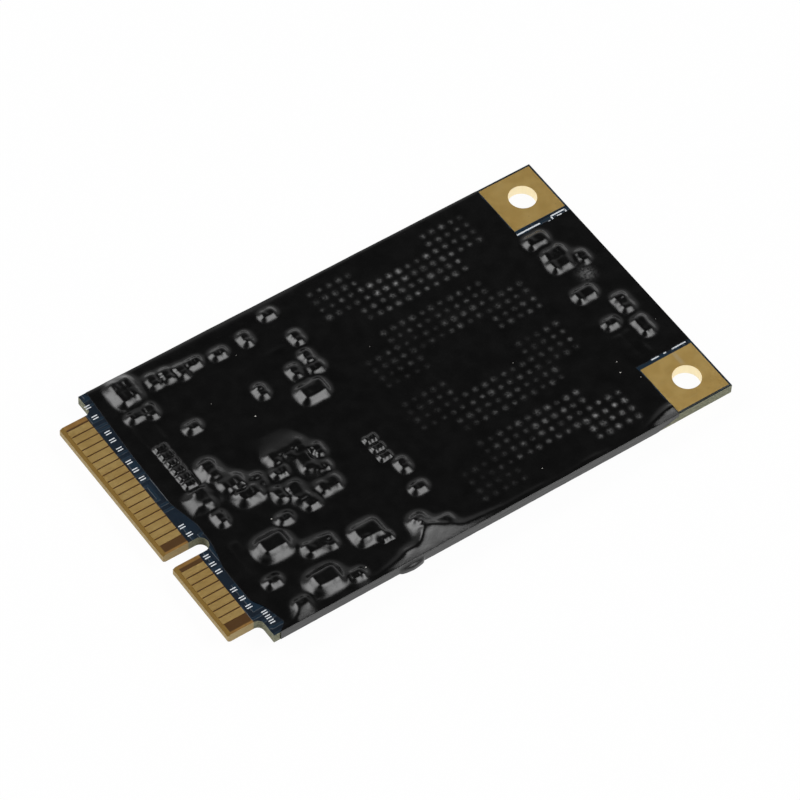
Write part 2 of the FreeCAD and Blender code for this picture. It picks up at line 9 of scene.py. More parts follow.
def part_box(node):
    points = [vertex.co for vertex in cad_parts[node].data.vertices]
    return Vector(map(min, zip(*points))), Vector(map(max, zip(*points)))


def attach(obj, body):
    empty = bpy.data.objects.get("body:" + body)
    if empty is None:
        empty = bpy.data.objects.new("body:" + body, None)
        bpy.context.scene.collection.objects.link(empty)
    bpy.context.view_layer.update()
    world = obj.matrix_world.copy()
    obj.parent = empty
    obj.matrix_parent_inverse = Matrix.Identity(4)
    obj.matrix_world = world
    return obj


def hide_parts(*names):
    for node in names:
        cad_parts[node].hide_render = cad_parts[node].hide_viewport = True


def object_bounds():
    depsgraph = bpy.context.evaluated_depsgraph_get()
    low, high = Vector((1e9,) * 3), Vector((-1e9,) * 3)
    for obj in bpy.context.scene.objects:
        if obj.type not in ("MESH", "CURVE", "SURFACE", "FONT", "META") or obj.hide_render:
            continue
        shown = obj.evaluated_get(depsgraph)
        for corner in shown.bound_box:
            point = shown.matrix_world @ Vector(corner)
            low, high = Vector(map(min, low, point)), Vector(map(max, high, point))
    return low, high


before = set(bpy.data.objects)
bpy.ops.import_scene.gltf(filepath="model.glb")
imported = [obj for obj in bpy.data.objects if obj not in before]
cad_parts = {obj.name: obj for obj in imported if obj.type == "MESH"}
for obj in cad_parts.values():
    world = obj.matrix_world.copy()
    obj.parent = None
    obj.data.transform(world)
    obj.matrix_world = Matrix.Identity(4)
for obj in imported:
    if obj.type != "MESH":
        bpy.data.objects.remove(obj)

cad_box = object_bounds()

# Places on the card are in millimetres: x from the tongue's end, y from the near long edge.
MM = 0.001
CARD_LOW, CARD_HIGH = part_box("circuit_board")
FILM_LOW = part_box("insulating_film")[0]
CARD_LENGTH = (CARD_HIGH.x - CARD_LOW.x) / MM
CARD_WIDTH = (CARD_HIGH.y - CARD_LOW.y) / MM
FILM_THICKNESS = (CARD_LOW.y - FILM_LOW.y) / MM
FOLD_DEPTH = (CARD_HIGH.z - FILM_LOW.z) / MM


def on_card(x, y, rise=0.0):
    """A point in metres, from a place on the card and a rise above its upper face."""
    return Vector((CARD_LOW.x + x * MM, CARD_LOW.y + y * MM, CARD_HIGH.z + rise * MM))


def from_card(points):
    """Places on the card and rises above its upper face, from points in metres."""
    return (points - np.array((CARD_LOW.x, CARD_LOW.y, CARD_HIGH.z))) / MM


def mesh_points(mesh):
    """A mesh's points, one row each."""
    points = np.empty(len(mesh.vertices) * 3)
    mesh.vertices.foreach_get("co", points)
    return points.reshape(-1, 3)


def finished_mesh(bm, name, smooth=False):
    """The mesh that was built up, shaded flat or smooth."""
    for face in bm.faces:
        face.smooth = smooth
    mesh = bpy.data.meshes.new(name)
    bm.to_mesh(mesh)
    bm.free()
    return mesh


def join_lines(bm, lines, closed=False):
    """Faces between lines of points, each line joined to the next; closed lines run round."""
    for one, two in zip(lines, lines[1:]):
        for p in range(len(one) if closed else len(one) - 1):
            q = (p + 1) % len(one)
            bm.faces.new((one[p], one[q], two[q], two[p]))


def colour(red, green, blue):
    """A colour written as it looks on a screen, 0 to 255."""
    def linear(value):
        share = value / 255
        return share / 12.92 if share <= 0.04045 else ((share + 0.055) / 1.055) ** 2.4
    return (linear(red), linear(green), linear(blue), 1.0)


# Shared surface effects

class Nodes:
    """A shader's nodes, with short calls that add to them."""

    def __init__(self, tree):
        self.tree = tree

    def add(self, kind, inputs, **settings):
        """A node with its settings; each input is another node's output or a plain value."""
        node = self.tree.nodes.new("ShaderNode" + kind)
        for label, value in settings.items():
            setattr(node, label, value)
        for label, value in inputs.items():
            if isinstance(value, bpy.types.NodeSocket):
                self.tree.links.new(value, node.inputs[label])
            else:
                node.inputs[label].default_value = value
        return node

    def number(self, operation, first, second=0.0):
        """One step of arithmetic on two values."""
        return self.add("Math", {0: first, 1: second}, operation=operation).outputs[0]

    def remap(self, value, low, high, to_low=0.0, to_high=1.0, kind="LINEAR"):
        """A value brought from one range to another, and kept within it."""
        inputs = {"Value": value, "From Min": low, "From Max": high, "To Min": to_low, "To Max": to_high}
        return self.add("MapRange", inputs, interpolation_type=kind).outputs["Result"]

    def mix(self, mask, first, second, share=1.0):
        """One colour over another, by a share of a mask."""
        if share < 1.0:
            mask = self.number("MULTIPLY", mask, share)
        return self.add("Mix", {0: mask, 6: first, 7: second}, data_type="RGBA").outputs[2]

    def split(self, kind, output):
        """The x, y and z of a node's output."""
        return self.add("SeparateXYZ", {0: self.add(kind, {}).outputs[output]}).outputs

    def scaled_place(self, size, stretch=(1.0, 1.0, 1.0)):
        """The object's own coordinates, in units of a size given in millimetres."""
        place = self.add("TexCoord", {}).outputs["Object"]
        stretched = self.add("VectorMath", {0: place, 1: stretch}, operation="MULTIPLY").outputs[0]
        inputs = {0: stretched, "Scale": self.number("DIVIDE", 1 / MM, size)}
        return self.add("VectorMath", inputs, operation="SCALE").outputs[0]

    def noise(self, detail, *size):
        """Soft noise of a size in millimetres, which may be stretched."""
        inputs = {"Vector": self.scaled_place(*size), "Scale": 1.0, "Detail": detail, "Roughness": 0.55}
        return self.add("TexNoise", inputs).outputs["Fac"]


def effect_group(name, inputs, recipe):
    """A shader group with number inputs, and one mask that a recipe makes from them."""
    tree = bpy.data.node_groups.new(name, "ShaderNodeTree")
    for label, value in inputs.items():
        socket = tree.interface.new_socket(label, in_out="INPUT", socket_type="NodeSocketFloat")
        socket.default_value = value
    tree.interface.new_socket("Mask", in_out="OUTPUT", socket_type="NodeSocketFloat")
    made = recipe(Nodes(tree), tree.nodes.new("NodeGroupInput").outputs)
    tree.links.new(made, tree.nodes.new("NodeGroupOutput").inputs["Mask"])
    return tree


def fine_grain(n, given):
    """Fine even grain, 0 to 1."""
    return n.remap(n.noise(4.0, given["Size"]), 0.28, 0.72)


def cloudy_patches(n, given):
    """Broad cloudy patches, 0 to 1."""
    low, high = (n.number(way, 0.5, given["Edge"]) for way in ("SUBTRACT", "ADD"))
    return n.remap(n.noise(2.0, given["Size"]), low, high, kind="SMOOTHSTEP")


def rubbed_lines(n, given):
    """Thin straight marks that run along the card, 0 to 1."""
    start = n.number("SUBTRACT", 0.85, n.number("MULTIPLY", given["Amount"], 0.5))
    long_marks = n.noise(2.0, given["Size"], (0.05, 1.0, 1.0))
    return n.remap(long_marks, start, n.number("ADD", start, 0.12))


def loose_specks(n, given):
    """Small round specks, one here and there, 0 to 1."""
    cells = n.add("TexVoronoi", {"Scale": 1.0, "Vector": n.scaled_place(given["Spacing"])})
    inner = n.number("MULTIPLY", given["Share"], 0.5)
    return n.remap(cells.outputs["Distance"], inner, given["Share"], 1.0, 0.0)


GRAIN = effect_group("fine_grain", {"Size": 0.1}, fine_grain)
PATCHES = effect_group("cloudy_patches", {"Size": 3.0, "Edge": 0.15}, cloudy_patches)
LINES = effect_group("rubbed_lines", {"Size": 0.1, "Amount": 0.3}, rubbed_lines)
SPECKS = effect_group("loose_specks", {"Spacing": 2.0, "Share": 0.04}, loose_specks)


class Finish(Nodes):
    """One material with its shader."""

    def __init__(self, name, **inputs):
        self.material = bpy.data.materials.new(name)
        self.material.use_nodes = True
        super().__init__(self.material.node_tree)
        self.tree.nodes.clear()
        self.shader = self.add("BsdfPrincipled", inputs)
        self.add("OutputMaterial", {"Surface": self.shader.outputs[0]})

    def effect(self, group, **values):
        """The mask of a shared effect."""
        return self.add("Group", values, node_tree=group).outputs[0]

    def place(self):
        """The object's own x and y, in metres."""
        return self.split("TexCoord", "Object")[:2]

    def painted(self, name):
        """A value kept at the mesh's own points."""
        return self.add("Attribute", {}, attribute_name=name).outputs["Fac"]

    def flatness(self):
        """1 where the surface lies level, facing up or down, and 0 where it is upright."""
        return self.number("ABSOLUTE", self.split("NewGeometry", "Normal")["Z"])

    def within(self, value, low, high, soft):
        """A mask that is 1 from low to high and fades over soft."""
        rising = self.remap(value, low - soft, low)
        falling = self.remap(value, high, high + soft, 1.0, 0.0)
        return self.number("MULTIPLY", rising, falling)

    def set(self, label, value):
        """What drives one input of the shader."""
        self.tree.links.new(value, self.shader.inputs[label])

    def rough(self, grain, low, high):
        """A roughness that changes with a grain of a size in millimetres."""
        self.set("Roughness", self.remap(self.effect(GRAIN, Size=grain), 0.0, 1.0, low, high))

    def bump(self, height, depth, strength=1.0):
        """Relief of a depth in millimetres."""
        inputs = {"Height": height, "Distance": depth * MM, "Strength": strength}
        self.set("Normal", self.add("Bump", inputs).outputs["Normal"])


# Finishes

# On the tongue: the bevel's end, the mask's edge, and the rows of contacts, where the laminate gets painted
# shade
BEVEL_FROM, BEVEL_TO = 0.33, 0.37
TONGUE_BARE, MASK_EDGE = 2.55, 0.03
LOWER_ROWS = ((2.35, 9.92), (12.08, 27.28))
ROW_FADE = 0.09
AMBER = colour(150, 114, 62)
AMBER_DEEP = colour(130, 95, 46)
SAWN_AMBER = colour(176, 152, 104)
SHADED_LAMINATE = colour(74, 48, 20)
MILLED_BEVEL = colour(126, 97, 34)
NAVY = colour(9, 27, 42)
NAVY_DEEP = colour(5, 20, 33)
TRACK_BLUE = colour(17, 43, 60)
CUT_EDGE = colour(138, 140, 118)
CUT_EDGE_DARK = colour(98, 99, 78)
PALE_FIBRE = colour(168, 160, 132)
TRACK_CELLS = 0.21
TRACKS_IN_CELL = 7.0


def board_finish():
    """Blue mask over copper tracks, bare amber laminate on the tongue, sawn glass fibre at the sides."""
    f = Finish("blue_masked_laminate", IOR=1.5)
    x, y = f.place()
    flat_face = f.remap(f.flatness(), 0.4, 0.6)

    laminate = f.mix(f.effect(PATCHES, Size=0.9, Edge=0.2), AMBER, AMBER_DEEP)
    laminate = f.mix(f.remap(f.effect(GRAIN, Size=0.09), 0.2, 1.0, 0.0, 0.35), laminate, AMBER_DEEP)
    inner = f.remap(x, CARD_LOW.x + BEVEL_FROM * MM, CARD_LOW.x + BEVEL_TO * MM)
    # Painted shade on the laminate across the rows of contacts, kept off the bevel
    for low, high in LOWER_ROWS:
        shaded = f.within(y, CARD_LOW.y + low * MM, CARD_LOW.y + high * MM, ROW_FADE * MM)
        laminate = f.mix(f.number("MULTIPLY", shaded, inner), laminate, SHADED_LAMINATE, 0.94)
    bevel = f.number("SUBTRACT", 1.0, inner)
    laminate = f.mix(bevel, laminate, MILLED_BEVEL, 0.9)

    inputs = {"Vector": f.scaled_place(1.0), "Scale": TRACK_CELLS}
    contours = f.add("TexVoronoi", inputs, distance="CHEBYCHEV")
    rings = f.number("FRACT", f.number("MULTIPLY", contours.outputs["Distance"], TRACKS_IN_CELL))
    tracks = f.number("MULTIPLY", f.remap(rings, 0.0, 0.08), f.remap(rings, 0.36, 0.44, 1.0, 0.0))
    mask = f.mix(f.effect(PATCHES, Size=2.4, Edge=0.2), NAVY, NAVY_DEEP)
    mask = f.mix(tracks, mask, TRACK_BLUE, 0.55)
    mask = f.mix(f.effect(SPECKS, Spacing=1.7, Share=0.13), mask, TRACK_BLUE, 0.5)

    masked = f.remap(x, CARD_LOW.x + (TONGUE_BARE - MASK_EDGE) * MM,
                     CARD_LOW.x + (TONGUE_BARE + MASK_EDGE) * MM)
    face = f.mix(masked, laminate, mask)
    fibres = f.noise(4.0, 0.10, (0.35, 0.35, 2.2))
    side = f.mix(f.remap(fibres, 0.36, 0.62), CUT_EDGE_DARK, CUT_EDGE)
    side = f.mix(f.remap(f.effect(GRAIN, Size=0.16), 0.62, 0.9, 0.0, 0.6), side, PALE_FIBRE)
    side = f.mix(f.remap(masked, 0.0, 1.0, 0.85, 0.0), side, SAWN_AMBER)
    f.set("Base Color", f.mix(flat_face, side, face))
    rough_face = f.remap(f.effect(GRAIN, Size=0.2), 0.0, 1.0, 0.3, 0.42)
    rough_face = f.remap(bevel, 0.0, 1.0, rough_face, 0.9)
    f.set("Roughness", f.remap(flat_face, 0.0, 1.0, 0.85, rough_face))
    relief = f.number("ADD", f.number("MULTIPLY", tracks, masked), f.number("MULTIPLY", fibres, 0.35))
    f.bump(relief, 0.018)
    return f.material


TONGUE_GOLD = colour(220, 188, 121)
TONGUE_GOLD_DEEP = colour(208, 173, 106)
LAND_GOLD = colour(245, 209, 130)
LAND_GOLD_DEEP = colour(234, 195, 115)
RUBBED_GOLD = colour(238, 212, 156)
GOLD_SPECK = colour(150, 116, 64)
SMEARED_GOLD = colour(246, 226, 186)
# Pale gold of the painted highlight on the lands' upright faces
HIGHLIT_UPRIGHT_GOLD = colour(255, 240, 200)

# Gold darker on the tongue and paler on the lands by the screw holes, with where the change runs; a pale
# smear on the near land, with its fades
TONGUE_GOLD_TO, LAND_GOLD_FROM = 5.0, 44.0
SMEAR_X, SMEAR_X_FADE = (48.55, 48.75), 0.18
SMEAR_Y, SMEAR_Y_FADE = (4.45, 5.45), 0.5


def gold_finish():
    """Thin satin gold with rubbed lines along the card, faint darker patches and a painted highlight on the
    lands' upright faces.
    """
    f = Finish("satin_gold_plating", Metallic=1.0)
    patches = f.effect(PATCHES, Size=1.6, Edge=0.22)
    x, y = f.place()
    on_lands = f.remap(x, CARD_LOW.x + TONGUE_GOLD_TO * MM, CARD_LOW.x + LAND_GOLD_FROM * MM)
    tongue_tone = f.mix(patches, TONGUE_GOLD, TONGUE_GOLD_DEEP)
    land_tone = f.mix(patches, LAND_GOLD, LAND_GOLD_DEEP)
    base = f.mix(on_lands, tongue_tone, land_tone)
    base = f.mix(f.effect(LINES, Size=0.07, Amount=0.5), base, RUBBED_GOLD, 0.45)
    base = f.mix(f.effect(SPECKS, Spacing=0.9, Share=0.07), base, GOLD_SPECK, 0.35)
    smear_x = f.within(x, *(CARD_LOW.x + edge * MM for edge in SMEAR_X), SMEAR_X_FADE * MM)
    smear_y = f.within(y, *(CARD_LOW.y + edge * MM for edge in SMEAR_Y), SMEAR_Y_FADE * MM)
    base = f.mix(f.number("MULTIPLY", smear_x, smear_y), base, SMEARED_GOLD, 0.45)
    # Painted highlight: the upright faces of the lands, such as the screw holes' walls, turn pale gold
    upright_highlight = f.remap(f.flatness(), 0.4, 0.7, 1.0, 0.0)
    upright_highlight = f.number("MULTIPLY", upright_highlight, on_lands)
    f.set("Base Color", f.mix(upright_highlight, base, HIGHLIT_UPRIGHT_GOLD))
    f.rough(0.12, 0.40, 0.54)
    f.bump(f.effect(GRAIN, Size=0.05), 0.006, 0.6)
    return f.material


def metal_finish(name, pale, deep, low_rough, high_rough, grain):
    """Plated metal with a fine uneven surface."""
    f = Finish(name, Metallic=1.0)
    f.set("Base Color", f.mix(f.effect(PATCHES, Size=grain * 6, Edge=0.2), pale, deep))
    f.rough(grain, low_rough, high_rough)
    f.bump(f.effect(GRAIN, Size=grain), 0.008, 0.7)
    return f.material


def ceramic_finish(name, pale, deep, rough, grain=0.08, chips=0.0):
    """Fired ceramic or ferrite: matte and grainy, with pale pits where it is chipped."""
    f = Finish(name, IOR=1.55)
    base = f.mix(f.effect(GRAIN, Size=grain), deep, pale)
    if chips:
        base = f.mix(f.effect(SPECKS, Spacing=0.35, Share=0.12), base, colour(150, 148, 142), chips)
    f.set("Base Color", base)
    f.set("Roughness", f.remap(f.effect(PATCHES, Size=0.6), 0.0, 1.0, rough - 0.08, rough + 0.08))
    f.bump(f.effect(GRAIN, Size=grain), 0.008, 0.8)
    return f.material


def moulding_finish():
    """Black moulding compound: fine matte grain, faint flow patches, a little dust."""
    f = Finish("black_moulding_compound", IOR=1.5)
    base = f.mix(f.effect(PATCHES, Size=5.0, Edge=0.25), colour(36, 36, 38), colour(46, 46, 47))
    base = f.mix(f.remap(f.effect(GRAIN, Size=0.06), 0.5, 1.0, 0.0, 0.5), base, colour(66, 66, 66))
    dust = f.effect(SPECKS, Spacing=1.9, Share=0.03)
    f.set("Base Color", f.mix(dust, base, colour(170, 168, 164), 0.6))
    f.rough(0.15, 0.52, 0.7)
    f.bump(f.effect(GRAIN, Size=0.06), 0.012, 0.8)
    return f.material


# Painted grey sheen on the film over the round lands, standing in for the highlights on the small bumps
# there
PAINTED_GREY_SHEEN = colour(150, 150, 150)


def film_finish():
    """Black glossy film: cloudy gloss, fine grain, sparse dust, and rougher spots with a painted grey sheen
    where lands press on it.
    """
    f = Finish("black_glossy_film", IOR=1.54)
    dust = f.effect(SPECKS, Spacing=3.1, Share=0.012)
    base = f.mix(f.effect(PATCHES, Size=2.2, Edge=0.25), colour(6, 6, 6), colour(9, 9, 9))
    base = f.mix(dust, base, colour(120, 120, 118), 0.35)
    # Painted grey sheen where the lands press on the film, mottled into painted glints; the film is also
    # rougher there
    dull_and_sheen = f.painted("dull_and_sheen")
    dull_and_sheen = f.number("MULTIPLY", dull_and_sheen, f.remap(f.effect(GRAIN, Size=0.20), 0.15, 0.95, 0.25, 2.3))
    f.set("Base Color", f.mix(dull_and_sheen, base, PAINTED_GREY_SHEEN))
    gloss = f.effect(PATCHES, Size=1.3, Edge=0.3)
    f.set("Roughness", f.remap(dull_and_sheen, 0.0, 0.5, f.remap(gloss, 0.0, 1.0, 0.19, 0.26), 0.5))
    f.bump(f.effect(GRAIN, Size=0.22), 0.0035, 0.7)
    return f.material


def uneven_finish(name, ior, deep, pale, grain, rough_grain, low_rough, high_rough):
    """A dull finish with a little grain, for the marking ink and the lint."""
    f = Finish(name, IOR=ior)
    f.set("Base Color", f.mix(f.effect(GRAIN, Size=grain), deep, pale))
    f.rough(rough_grain, low_rough, high_rough)
    return f.material


GOLD = gold_finish()
TIN = metal_finish("matte_tin_plating", colour(205, 204, 200), colour(176, 175, 170), 0.38, 0.56, 0.06)
SOLDER = metal_finish("satin_solder", colour(200, 200, 198), colour(160, 160, 158), 0.22, 0.42, 0.12)
MOULDING = moulding_finish()
CAPACITOR = ceramic_finish("tan_capacitor_ceramic", colour(172, 140, 104), colour(138, 106, 74), 0.55)
FERRITE = ceramic_finish("grey_ferrite", colour(74, 74, 76), colour(48, 48, 50), 0.6, chips=0.3)
RESISTOR = ceramic_finish("black_glazed_resistor", colour(44, 44, 46), colour(26, 26, 28), 0.35, grain=0.12)
CRYSTAL_BASE = ceramic_finish("dark_crystal_ceramic", colour(96, 92, 86), colour(70, 67, 62), 0.6)
CRYSTAL_LID = metal_finish("nickel_crystal_lid", colour(214, 208, 194), colour(190, 184, 170),
                           0.26, 0.4, 0.1)
BOARD = board_finish()
FILM = film_finish()
INK = uneven_finish("white_marking_ink", 1.5, colour(205, 210, 216), colour(236, 240, 243),
                    0.12, 0.2, 0.5, 0.7)
LINT = uneven_finish("pale_lint", 1.45, colour(196, 192, 184), colour(236, 233, 228),
                     0.03, 0.05, 0.75, 0.95)

NODE_FINISHES = (
    ("circuit_board", BOARD), ("edge_contacts", GOLD), ("mounting_land", GOLD), ("flash_lands", GOLD),
    ("spare_lands", GOLD), ("test_land", GOLD), ("_package", MOULDING), ("_balls", SOLDER),
    ("regulator_body", MOULDING), ("_leads", TIN), ("crystal_base", CRYSTAL_BASE),
    ("crystal_lid", CRYSTAL_LID), ("_ends", TIN), ("capacitors", CAPACITOR), ("inductors", FERRITE),
    ("beads", FERRITE), ("resistors", RESISTOR), ("insulating_film", FILM),
)
for node_name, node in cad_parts.items():
    finish = next(made for word, made in NODE_FINISHES if word in node_name)
    node.data.materials.clear()
    node.data.materials.append(finish)


def new_object(name, data):
    """An object that is linked to the scene."""
    made = bpy.data.objects.new(name, data)
    bpy.context.scene.collection.objects.link(made)
    return made


def add_piece(name, mesh, finish):
    """A new piece of the drive, carried by its one body."""
    piece = new_object(name, mesh)
    mesh.materials.append(finish)
    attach(piece, "root")
    return piece


# The film: drawn down over what stands on the card

# The sheet that is solved: its step, its rounds, and the rounding after them
SHEET_STEP = 0.075
RELAX_ROUNDS = 320
OVER_RELAX = 1.72
ROUNDING = 0.14
TIGHT_ROUNDING = 0.075
TIGHT_BLEND = 0.15

# How hard the film is pulled down, and how far round a part each pull reaches
SUCTION = 0.74
TALL_SUCTION, TALL_REACH = 0.80, 1.2
COLUMN_SUCTION, COLUMN_REACH = 12.0, 0.4
FAR_SUCTION, FAR_REACH = 1.5, 0.5
SMALL_SUCTION, SMALL_REACH = 1.3, 0.6
TIGHT_SUCTION = 1.8
GAP_SUCTION = 5.0
GAP_LEAST, GAP_WIDTH, GAP_OVERLAP = 0.05, 1.0, 0.2
FAR_PARTS_FROM = 43.0

# What is below the film, as the film feels it
FLANK_SLOPE = 2.5
FILM_MARGIN = 0.11
LOW_MARGIN = 0.05
BODY_DIP = 0.035
SPARE_LAND_RISE = 0.05
# Over the round lands the film is dulled and given a painted grey sheen
TEST_LAND_SPREAD, TEST_LAND_RISE, TEST_LAND_SHEEN_AND_DULLNESS = 0.6, 0.05, 0.22
LEAST_SHEEN_AND_DULLNESS = 0.045
DOT_CHANGE = (0.5, 1.4)
DOT_SHIFT = 0.05
DOT_SPREAD = (0.11, 0.17)
DOT_RISE, DOT_DULL_RISE = 0.02, 0.06

# Small folds and ripples that the drawn film gets
RIPPLE_DEPTH, RIPPLE_SPREAD = 0.004, 0.55
PUCKER_DEPTH, PUCKER_SPREAD, PUCKER_LIFT = 0.018, 0.2, 0.012
LIFTED_FROM, LIFTED_OVER = 0.08, 0.2
TAUT_SHARE, TAUT_BLEND = 0.75, 0.2
TAUT_BELOW, TAUT_MASK = 0.9, 0.2

# Where the film is drawn tight round a part: lowest and highest corner of the field
TIGHT_PLACES = (
    ((14.0, 2.9), (17.4, 5.0)),
    ((18.8, 18.1), (21.8, 20.3)),
)

# Where the film stands off the card: place, reach along and across, height
AIR_POCKETS = (
    (46.0, 7.0, 0.5, 0.35, 0.05),
    (12.4, 4.4, 0.9, 0.7, 0.06),
    (20.0, 24.6, 1.4, 0.35, 0.03),
    (19.8, 2.40, 0.6, 0.95, 0.72),
    (18.0, 29.2, 8.0, 0.8, 0.07),
)

# Where the bare flash lands press on the film: place, reach, and how dull the film is there and how much
# painted grey sheen it gets
PRESSED_PLACES = (
    (40.5, 4.5, 4.5, 0.34), (34.5, 4.8, 3.5, 0.20), (32.5, 25.0, 3.5, 0.34), (37.8, 25.6, 4.2, 0.24),
    (27.5, 26.5, 3.0, 0.12), (41.5, 12.5, 2.0, 0.14), (33.5, 10.6, 4.0, 0.15), (41.0, 17.5, 3.0, 0.11),
    (36.5, 19.0, 3.5, 0.11), (28.5, 20.5, 2.5, 0.07),
)

# Flat stretches of film that lean up from the line between their first two corners, and their slope
LEANING = (
    ([(17.2, 0.0), (24.3, 0.0), (20.4, 2.15), (19.6, 2.15)], 0.34),
    ([(4.20, 15.8), (4.20, 13.5), (5.6, 14.0), (5.6, 15.4)], 0.37),
    ([(16.2, 16.6), (12.4, 16.3), (13.2, 14.9), (16.0, 15.0)], 0.25),
    ([(4.9, 0.0), (6.5, 0.0), (7.7, 1.35), (6.5, 1.35)], 0.34),
)
LEAN_SOFT = 0.45

# The film's rounded shoulder along the near edge: place along the card and width
SHOULDER = (
    (4.0, 0.20), (7.9, 0.17), (11.0, 0.28), (14.2, 0.28), (16.2, 0.62), (17.0, 0.90), (18.5, 0.94),
    (24.6, 0.46), (26.7, 0.29), (29.8, 0.27), (32.9, 0.15), (36.1, 0.27), (39.2, 0.05), (41.3, 0.07),
    (42.9, 0.55), (43.9, 0.80), (45.0, 0.95),
)
SHOULDER_SLOPE = 0.31
SHOULDER_END = 45.2

# Stretches that are hardly stuck down
FREE_PATCHES = (
    [(4.2, -0.3), (8.2, -0.3), (7.4, 1.3), (6.2, 1.3)],
    [(12.2, 15.0), (16.8, 15.0), (16.2, 17.4), (13.2, 17.5)],
)
FREE_SHARE, FREE_SOFT = 0.97, 0.25


def loose_solids(name):
    """Lowest and highest corner of each separate solid in a node, on the card, in millimetres."""
    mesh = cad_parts[name].data
    corners, same = np.unique(np.round(mesh_points(mesh), 7), axis=0, return_inverse=True)
    edges = np.empty(len(mesh.edges) * 2, dtype=np.int64)
    mesh.edges.foreach_get("vertices", edges)
    first, second = same.reshape(-1)[edges].reshape(-1, 2).T
    label = np.arange(len(corners))
    while True:
        lowest = np.minimum(label[first], label[second])
        joined = label.copy()
        np.minimum.at(joined, first, lowest)
        np.minimum.at(joined, second, lowest)
        joined = joined[joined]
        if np.array_equal(joined, label):
            break
        label = joined
    on_face = from_card(corners)
    return [(on_face[label == one].min(0), on_face[label == one].max(0)) for one in np.unique(label)]


sheet_x = np.arange(0.0, CARD_LENGTH + SHEET_STEP, SHEET_STEP)
sheet_y = np.arange(0.0, CARD_WIDTH + SHEET_STEP, SHEET_STEP)
WHOLE_SHEET = (slice(None), slice(None))

# What holds the film up, where it is dulled and given a painted grey sheen, and how hard it is pulled down
ground = np.zeros((len(sheet_x), len(sheet_y)))
dull_and_sheen = np.zeros_like(ground)
pull_down = np.full_like(ground, SUCTION)


def window(low, high, reach=0.0):
    """The sheet's points in a field and some way round it, as two slices."""
    from_x, to_x = np.searchsorted(sheet_x, (low[0] - reach, high[0] + reach))
    from_y, to_y = np.searchsorted(sheet_y, (low[1] - reach, high[1] + reach))
    return slice(from_x, to_x), slice(from_y, to_y)


def draw_closer(low, high, suction, reach=0.0):
    """A field where the film is drawn down harder than elsewhere."""
    pull_down[window(low, high, reach)] = suction


def hold_up(spot, height):
    """Something that holds the film up over a window of the sheet."""
    ground[spot] = np.maximum(ground[spot], height)


def raise_block(low, high, height, margin=FILM_MARGIN):
    """A flat-topped part below the film, which slopes down from its upper edges."""
    spot = window(low, high, margin + height / FLANK_SLOPE)
    x, y = sheet_x[spot[0], None], sheet_y[None, spot[1]]
    gap_x = np.maximum(np.maximum(low[0] - x, x - high[0]) - margin, 0.0)
    gap_y = np.maximum(np.maximum(low[1] - y, y - high[1]) - margin, 0.0)
    hold_up(spot, height - FLANK_SLOPE * np.hypot(gap_x, gap_y))


def raise_dome(x, y, spread, height, sheen_and_dullness):
    """A soft round bump below the film, which dulls the film and gives it a painted grey sheen where it
    presses on it.
    """
    spot = window((x, y), (x, y), 3 * spread)
    away = np.hypot(sheet_x[spot[0], None] - x, sheet_y[None, spot[1]] - y) / spread
    dome = np.exp(-0.5 * away ** 2)
    hold_up(spot, height * dome)
    dull_and_sheen[spot] = np.maximum(dull_and_sheen[spot], sheen_and_dullness * dome)


def drape_over_parts():
    """Each part holds the film up, and the film is drawn closer round the tall, low, far and small ones."""
    parts = []
    for low, high in loose_solids("film_side_power_inductors"):
        draw_closer(low, high, TALL_SUCTION, TALL_REACH)
    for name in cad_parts:
        if not name.startswith("film_side_"):
            continue
        dip = 0.0 if name.endswith(("_ends", "power_inductors", "large_capacitors")) else BODY_DIP
        is_low = "resistors" in name
        for low, high in loose_solids(name):
            parts.append((low, high))
            raise_block(low, high, high[2] - dip, LOW_MARGIN if is_low else FILM_MARGIN)
            if is_low:
                draw_closer(low, high, COLUMN_SUCTION, COLUMN_REACH)
            elif low[0] > FAR_PARTS_FROM:
                draw_closer(low, high, FAR_SUCTION, FAR_REACH)
            elif name.startswith("film_side_small_capacitors"):
                draw_closer(low, high, SMALL_SUCTION, SMALL_REACH)
    return parts


def draw_into_gaps(parts):
    """The film is drawn down into narrow gaps between neighbouring parts."""
    for k, (low, high) in enumerate(parts):
        for other_low, other_high in parts[:k]:
            start, stop = np.maximum(low, other_low), np.minimum(high, other_high)
            room = start - stop
            for axis in (0, 1):
                if GAP_LEAST < room[axis] < GAP_WIDTH and room[1 - axis] < -GAP_OVERLAP:
                    draw_closer(np.minimum(start, stop), np.maximum(start, stop), GAP_SUCTION)


def dot_sheen_and_dullness(x, y):
    """How hard a bare flash land presses on the film, by its place: how much it dulls the film and gives it
    a painted grey sheen.
    """
    pressing = [dull * math.exp(-((x - px) ** 2 + (y - py) ** 2) / reach ** 2)
                for px, py, reach, dull in PRESSED_PLACES]
    return LEAST_SHEEN_AND_DULLNESS + max(pressing)


def drape_over_lands():
    """Bare lands lift the film a little, and the round ones dull it and give it a painted grey sheen."""
    for low, high in loose_solids("spare_lands"):
        raise_block(low, high, SPARE_LAND_RISE)
    for low, high in loose_solids("test_land"):
        x, y = (low + high)[:2] / 2
        radius = max(high[0] - low[0], high[1] - low[1]) / 2
        raise_dome(x, y, TEST_LAND_SPREAD * radius, TEST_LAND_RISE, TEST_LAND_SHEEN_AND_DULLNESS)
    change = np.random.default_rng(7)
    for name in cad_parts:
        if name.startswith("flash_lands"):
            for low, high in loose_solids(name):
                x, y = (low + high)[:2] / 2
                sheen_and_dullness = dot_sheen_and_dullness(x, y) * change.uniform(*DOT_CHANGE)
                shift_x, shift_y = change.uniform(-DOT_SHIFT, DOT_SHIFT, 2)
                spread = change.uniform(*DOT_SPREAD)
                raise_dome(x + shift_x, y + shift_y, spread, DOT_RISE + DOT_DULL_RISE * sheen_and_dullness, sheen_and_dullness)


